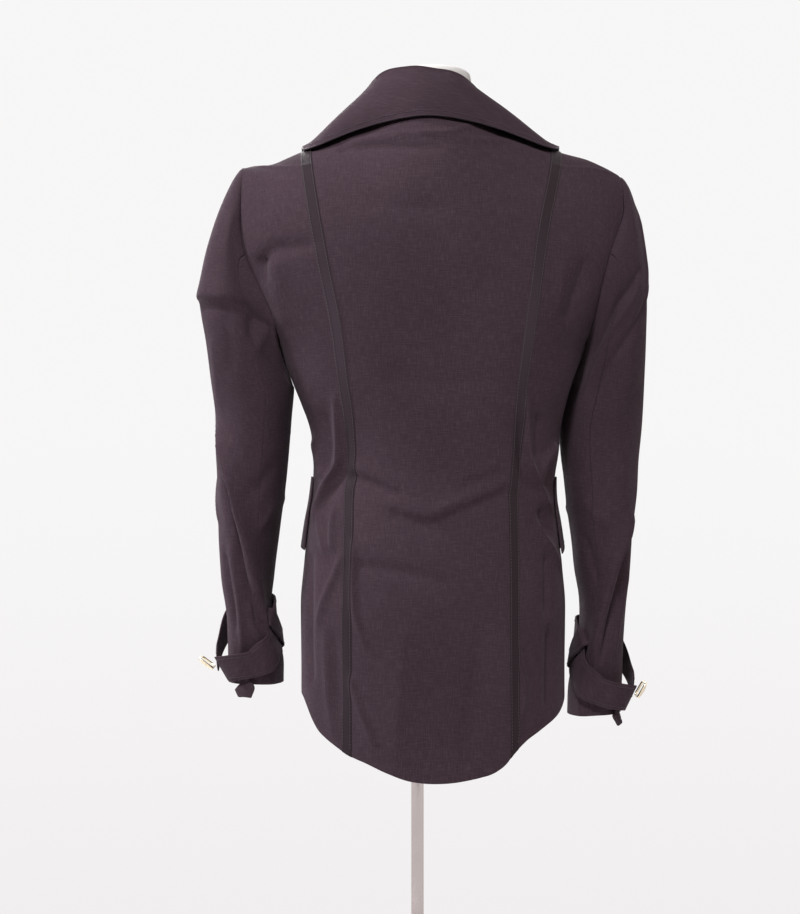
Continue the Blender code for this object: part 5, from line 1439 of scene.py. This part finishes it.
def buckle(side, tag):
    """Buckle frame, its prong and the eyelet of one cuff."""
    turn, z, off = BUCKLE_PLACE[side]
    t = math.radians(turn)
    out = sleeve_normal(side, t, z)
    centre = sleeve_ring_point(side, t, z) + out * off + COAT_SHIFT
    run = unit(np.array((side * BUCKLE_RUN[side][0], 0.0, BUCKLE_RUN[side][1])))
    out = unit(np.array((run[2] * side, 0.0, -abs(run[0]))))
    across = unit(np.cross(run, out))
    points = []
    for sx, sy, start in ((1, 1, 0), (-1, 1, 90), (-1, -1, 180), (1, -1, 270)):
        for k in range(7):
            a = math.radians(start + 15 * k)
            long = sx * (BUCKLE_LONG / 2 - BUCKLE_CORNER) + BUCKLE_CORNER * math.cos(a)
            short = sy * (BUCKLE_SHORT / 2 - BUCKLE_CORNER) + BUCKLE_CORNER * math.sin(a)
            points.append(centre + across * long + run * short)
    frame_tube = tube(points, WIRE / 2, 14, closed=True)
    add_object("buckle_frame_" + tag, *frame_tube, "pale_gold", ["buckle_" + tag])
    high = centre + out * (WIRE / 2 + 0.0013)
    reach = BUCKLE_SHORT / 2 + PRONG_RADIUS
    spine = []
    for k in range(15):
        a = -1 + 2 * k / 14
        sag = 0.0012 * (1 - a * a)
        spine.append(high + run * (a * reach) + out * (sag - 0.0006))
    sizes = [PRONG_RADIUS * (1.0 if k < 11 else 1.0 - 0.12 * (k - 10)) for k in range(15)]
    add_object("prong_looks_" + tag, *tube(spine, sizes, 12), "pale_gold", ["buckle_prong_" + tag])
    low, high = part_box("eyelet_" + tag)
    middle = np.array((low + high) / 2)
    # the eyelet lies in the cell of the CAD's strap that the two rings below bound
    path = smooth_path(STRAP_PATH[side], 36)
    outer, inner = band(path, [STRAP_WIDTH / 2] * len(path), STRAP_WALL, side, 3)
    corners = [outer[8, 1], outer[9, 1], outer[9, 2], outer[8, 2]]
    face = unit(np.cross(corners[2] - corners[0], corners[3] - corners[1]))
    face = face if np.dot(face, outer[8, 1] - inner[8, 1]) > 0 else -face
    one = unit(np.cross(face, (0.0, 0.0, 1.0)))
    two = np.cross(face, one)
    ring = [middle + (one * math.cos(math.radians(15 * k)) + two * math.sin(math.radians(15 * k)))
            * (EYELET_RADIUS + EYELET_HOLE) / 2 for k in range(24)]
    verts, faces = tube(ring, (EYELET_RADIUS - EYELET_HOLE) / 2, 10, closed=True)
    flat = [v - face * float(np.dot(v - middle, face)) * 0.35 for v in verts]
    add_object("eyelet_looks_" + tag, flat, faces, "pale_gold", ["eyelet_" + tag])


def flap_cloth(halves):
    """The two pocket flaps, laid over the front and round the side seam; returns their stitches."""
    made = []
    for side, tag in ((1, "L"), (-1, "R")):
        front = halves[side]["front_fine"][:, :FLAP_REACH * FRONT_STEPS + 1]
        fine = np.concatenate((halves[side]["fine"][:, -FLAP_WRAP:-1], front), axis=1)
        rows = slice(FLAP_ROWS[0] * ROW_STEPS, FLAP_ROWS[1] * ROW_STEPS + 1)
        points = fine[rows]
        n = grid_normals(fine, fine * OUT_BODY)[rows]
        open_share = np.clip(0.35 + np.arange(points.shape[1]) / 20, 0, 1)[None, :, None]
        hang = np.linspace(1, 0, points.shape[0])[:, None, None] ** 0.8
        stand = 0.0006 + (FLAP_STAND + 0.0010) * hang * open_share
        grid = points + n * (stand + FLAP_WALL)
        u, v = lengths(grid, 0)
        cloth_sheet("cloth_flap_" + tag, grid, grid * OUT_BODY, (u + 0.2, v), "pocket_flap_" + tag,
                    wall=FLAP_WALL, bevel=SMALL_BEVEL)
        made += stitches(grid[2, 2:-2], n[2, 2:-2])
        made += stitches(grid[2:, -3], n[2:, -3])
    return made


def ring_mesh(rings, name, slot_name, nodes):
    """A smooth closed solid through rings of points, with a face over each end."""
    rings = np.array(rings)
    return add_object(name, rings.reshape(-1, 3), capped_faces(*rings.shape[:2]), slot_name, nodes)


def form_looks():
    """The dress form, kept inside the coat's shoulders, back and front."""
    rings = []
    levels = []
    for a, b in zip(FORM_LEVELS, FORM_LEVELS[1:]):
        levels += [a + (b - a) * k / 3 for k in range(3)]
    levels.append(FORM_LEVELS[-1])
    for z in levels:
        ring = []
        halves = []
        for side in (1, -1):
            half = curve(FORM, z, 1)
            if z > 1.29:
                steps = np.linspace(0.196, 0.05, 147)
                fits = [x for x in steps if shoulder_z(x, side) - FORM_DROP >= z]
                half = min(half, fits[0]) if fits else half
            halves.append(half)
        for k in range(FORM_COLUMNS * 2):
            a = math.pi * k / FORM_COLUMNS
            side = 1 if math.cos(a) >= 0 else -1
            half = halves[0] if side == 1 else halves[1]
            x = half * math.cos(a)
            share = math.sqrt(max(1 - (x / half) ** 2, 0.0))
            if math.sin(a) >= 0:
                y = curve(FORM, z, 2) * share
                if z < NAPE_Z - 0.004:
                    y = min(y, max(back_y(x, z + FORM_DROP) - FORM_GAP, 0.0005 * share))
            else:
                y = curve(FORM, z, 3) * share
                if z < 1.37:
                    room = front_y(abs(x), z + FORM_DROP, side) - 1.6 * FORM_GAP
                    y = min(y, max(room, 0.0005 * share))
                y = -y
            ring.append((x + curve(LEAN, z) + COAT_X, y, z))
        rings.append(ring)
    ring_mesh(rings, "form_looks", "form_cover", ["form_body"])


def turned(name, profile, nodes, sides):
    """A turned metal part from its profile of radius and height."""
    turns = [2 * math.pi * k / sides for k in range(sides)]
    rings = [[(r * math.cos(a), r * math.sin(a), z) for a in turns] for r, z in profile]
    round_edges(ring_mesh(rings, name, "chrome", nodes), 0.0008, 3, 35)


def stand_looks():
    """Base, pole and socket."""
    top = FORM_BOTTOM_Z - SOCKET_LENGTH
    turned("base_looks", (
        (BASE_RADIUS - 0.003, 0.0), (BASE_RADIUS - 0.001, 0.0008), (BASE_RADIUS, 0.003),
        (BASE_RADIUS, BASE_THICK - 0.004), (BASE_RADIUS - 0.0012, BASE_THICK - 0.0012),
        (BASE_RADIUS - 0.004, BASE_THICK), (0.024, BASE_THICK + 0.002), (0.0195, BASE_THICK + 0.0045),
        (0.018, BASE_THICK + 0.010), (0.0155, BASE_THICK + 0.030)), ["stand_base"], 128)
    foot = BASE_THICK + 0.030
    turned("pole_looks", ((POLE_RADIUS, foot), (POLE_RADIUS, top)), ["stand_pole"], 64)
    turned("socket_looks", (
        (0.012, top), (0.014, top + 0.002), (0.014, top + 0.048), (0.032, top + 0.052),
        (0.032, top + SOCKET_LENGTH)), ["pole_socket"], 64)


make_camera()
make_studio()
halves, thread = body_cloth()
sleeve_cloth(halves)
thread += collar_cloth(halves)
thread += flap_cloth(halves)
thread += cuffs()
form_looks()
stand_looks()
verts, faces = join(thread)
add_object("stitching", np.array(verts) + COAT_SHIFT, faces, "coat_cloth", looks="thread")
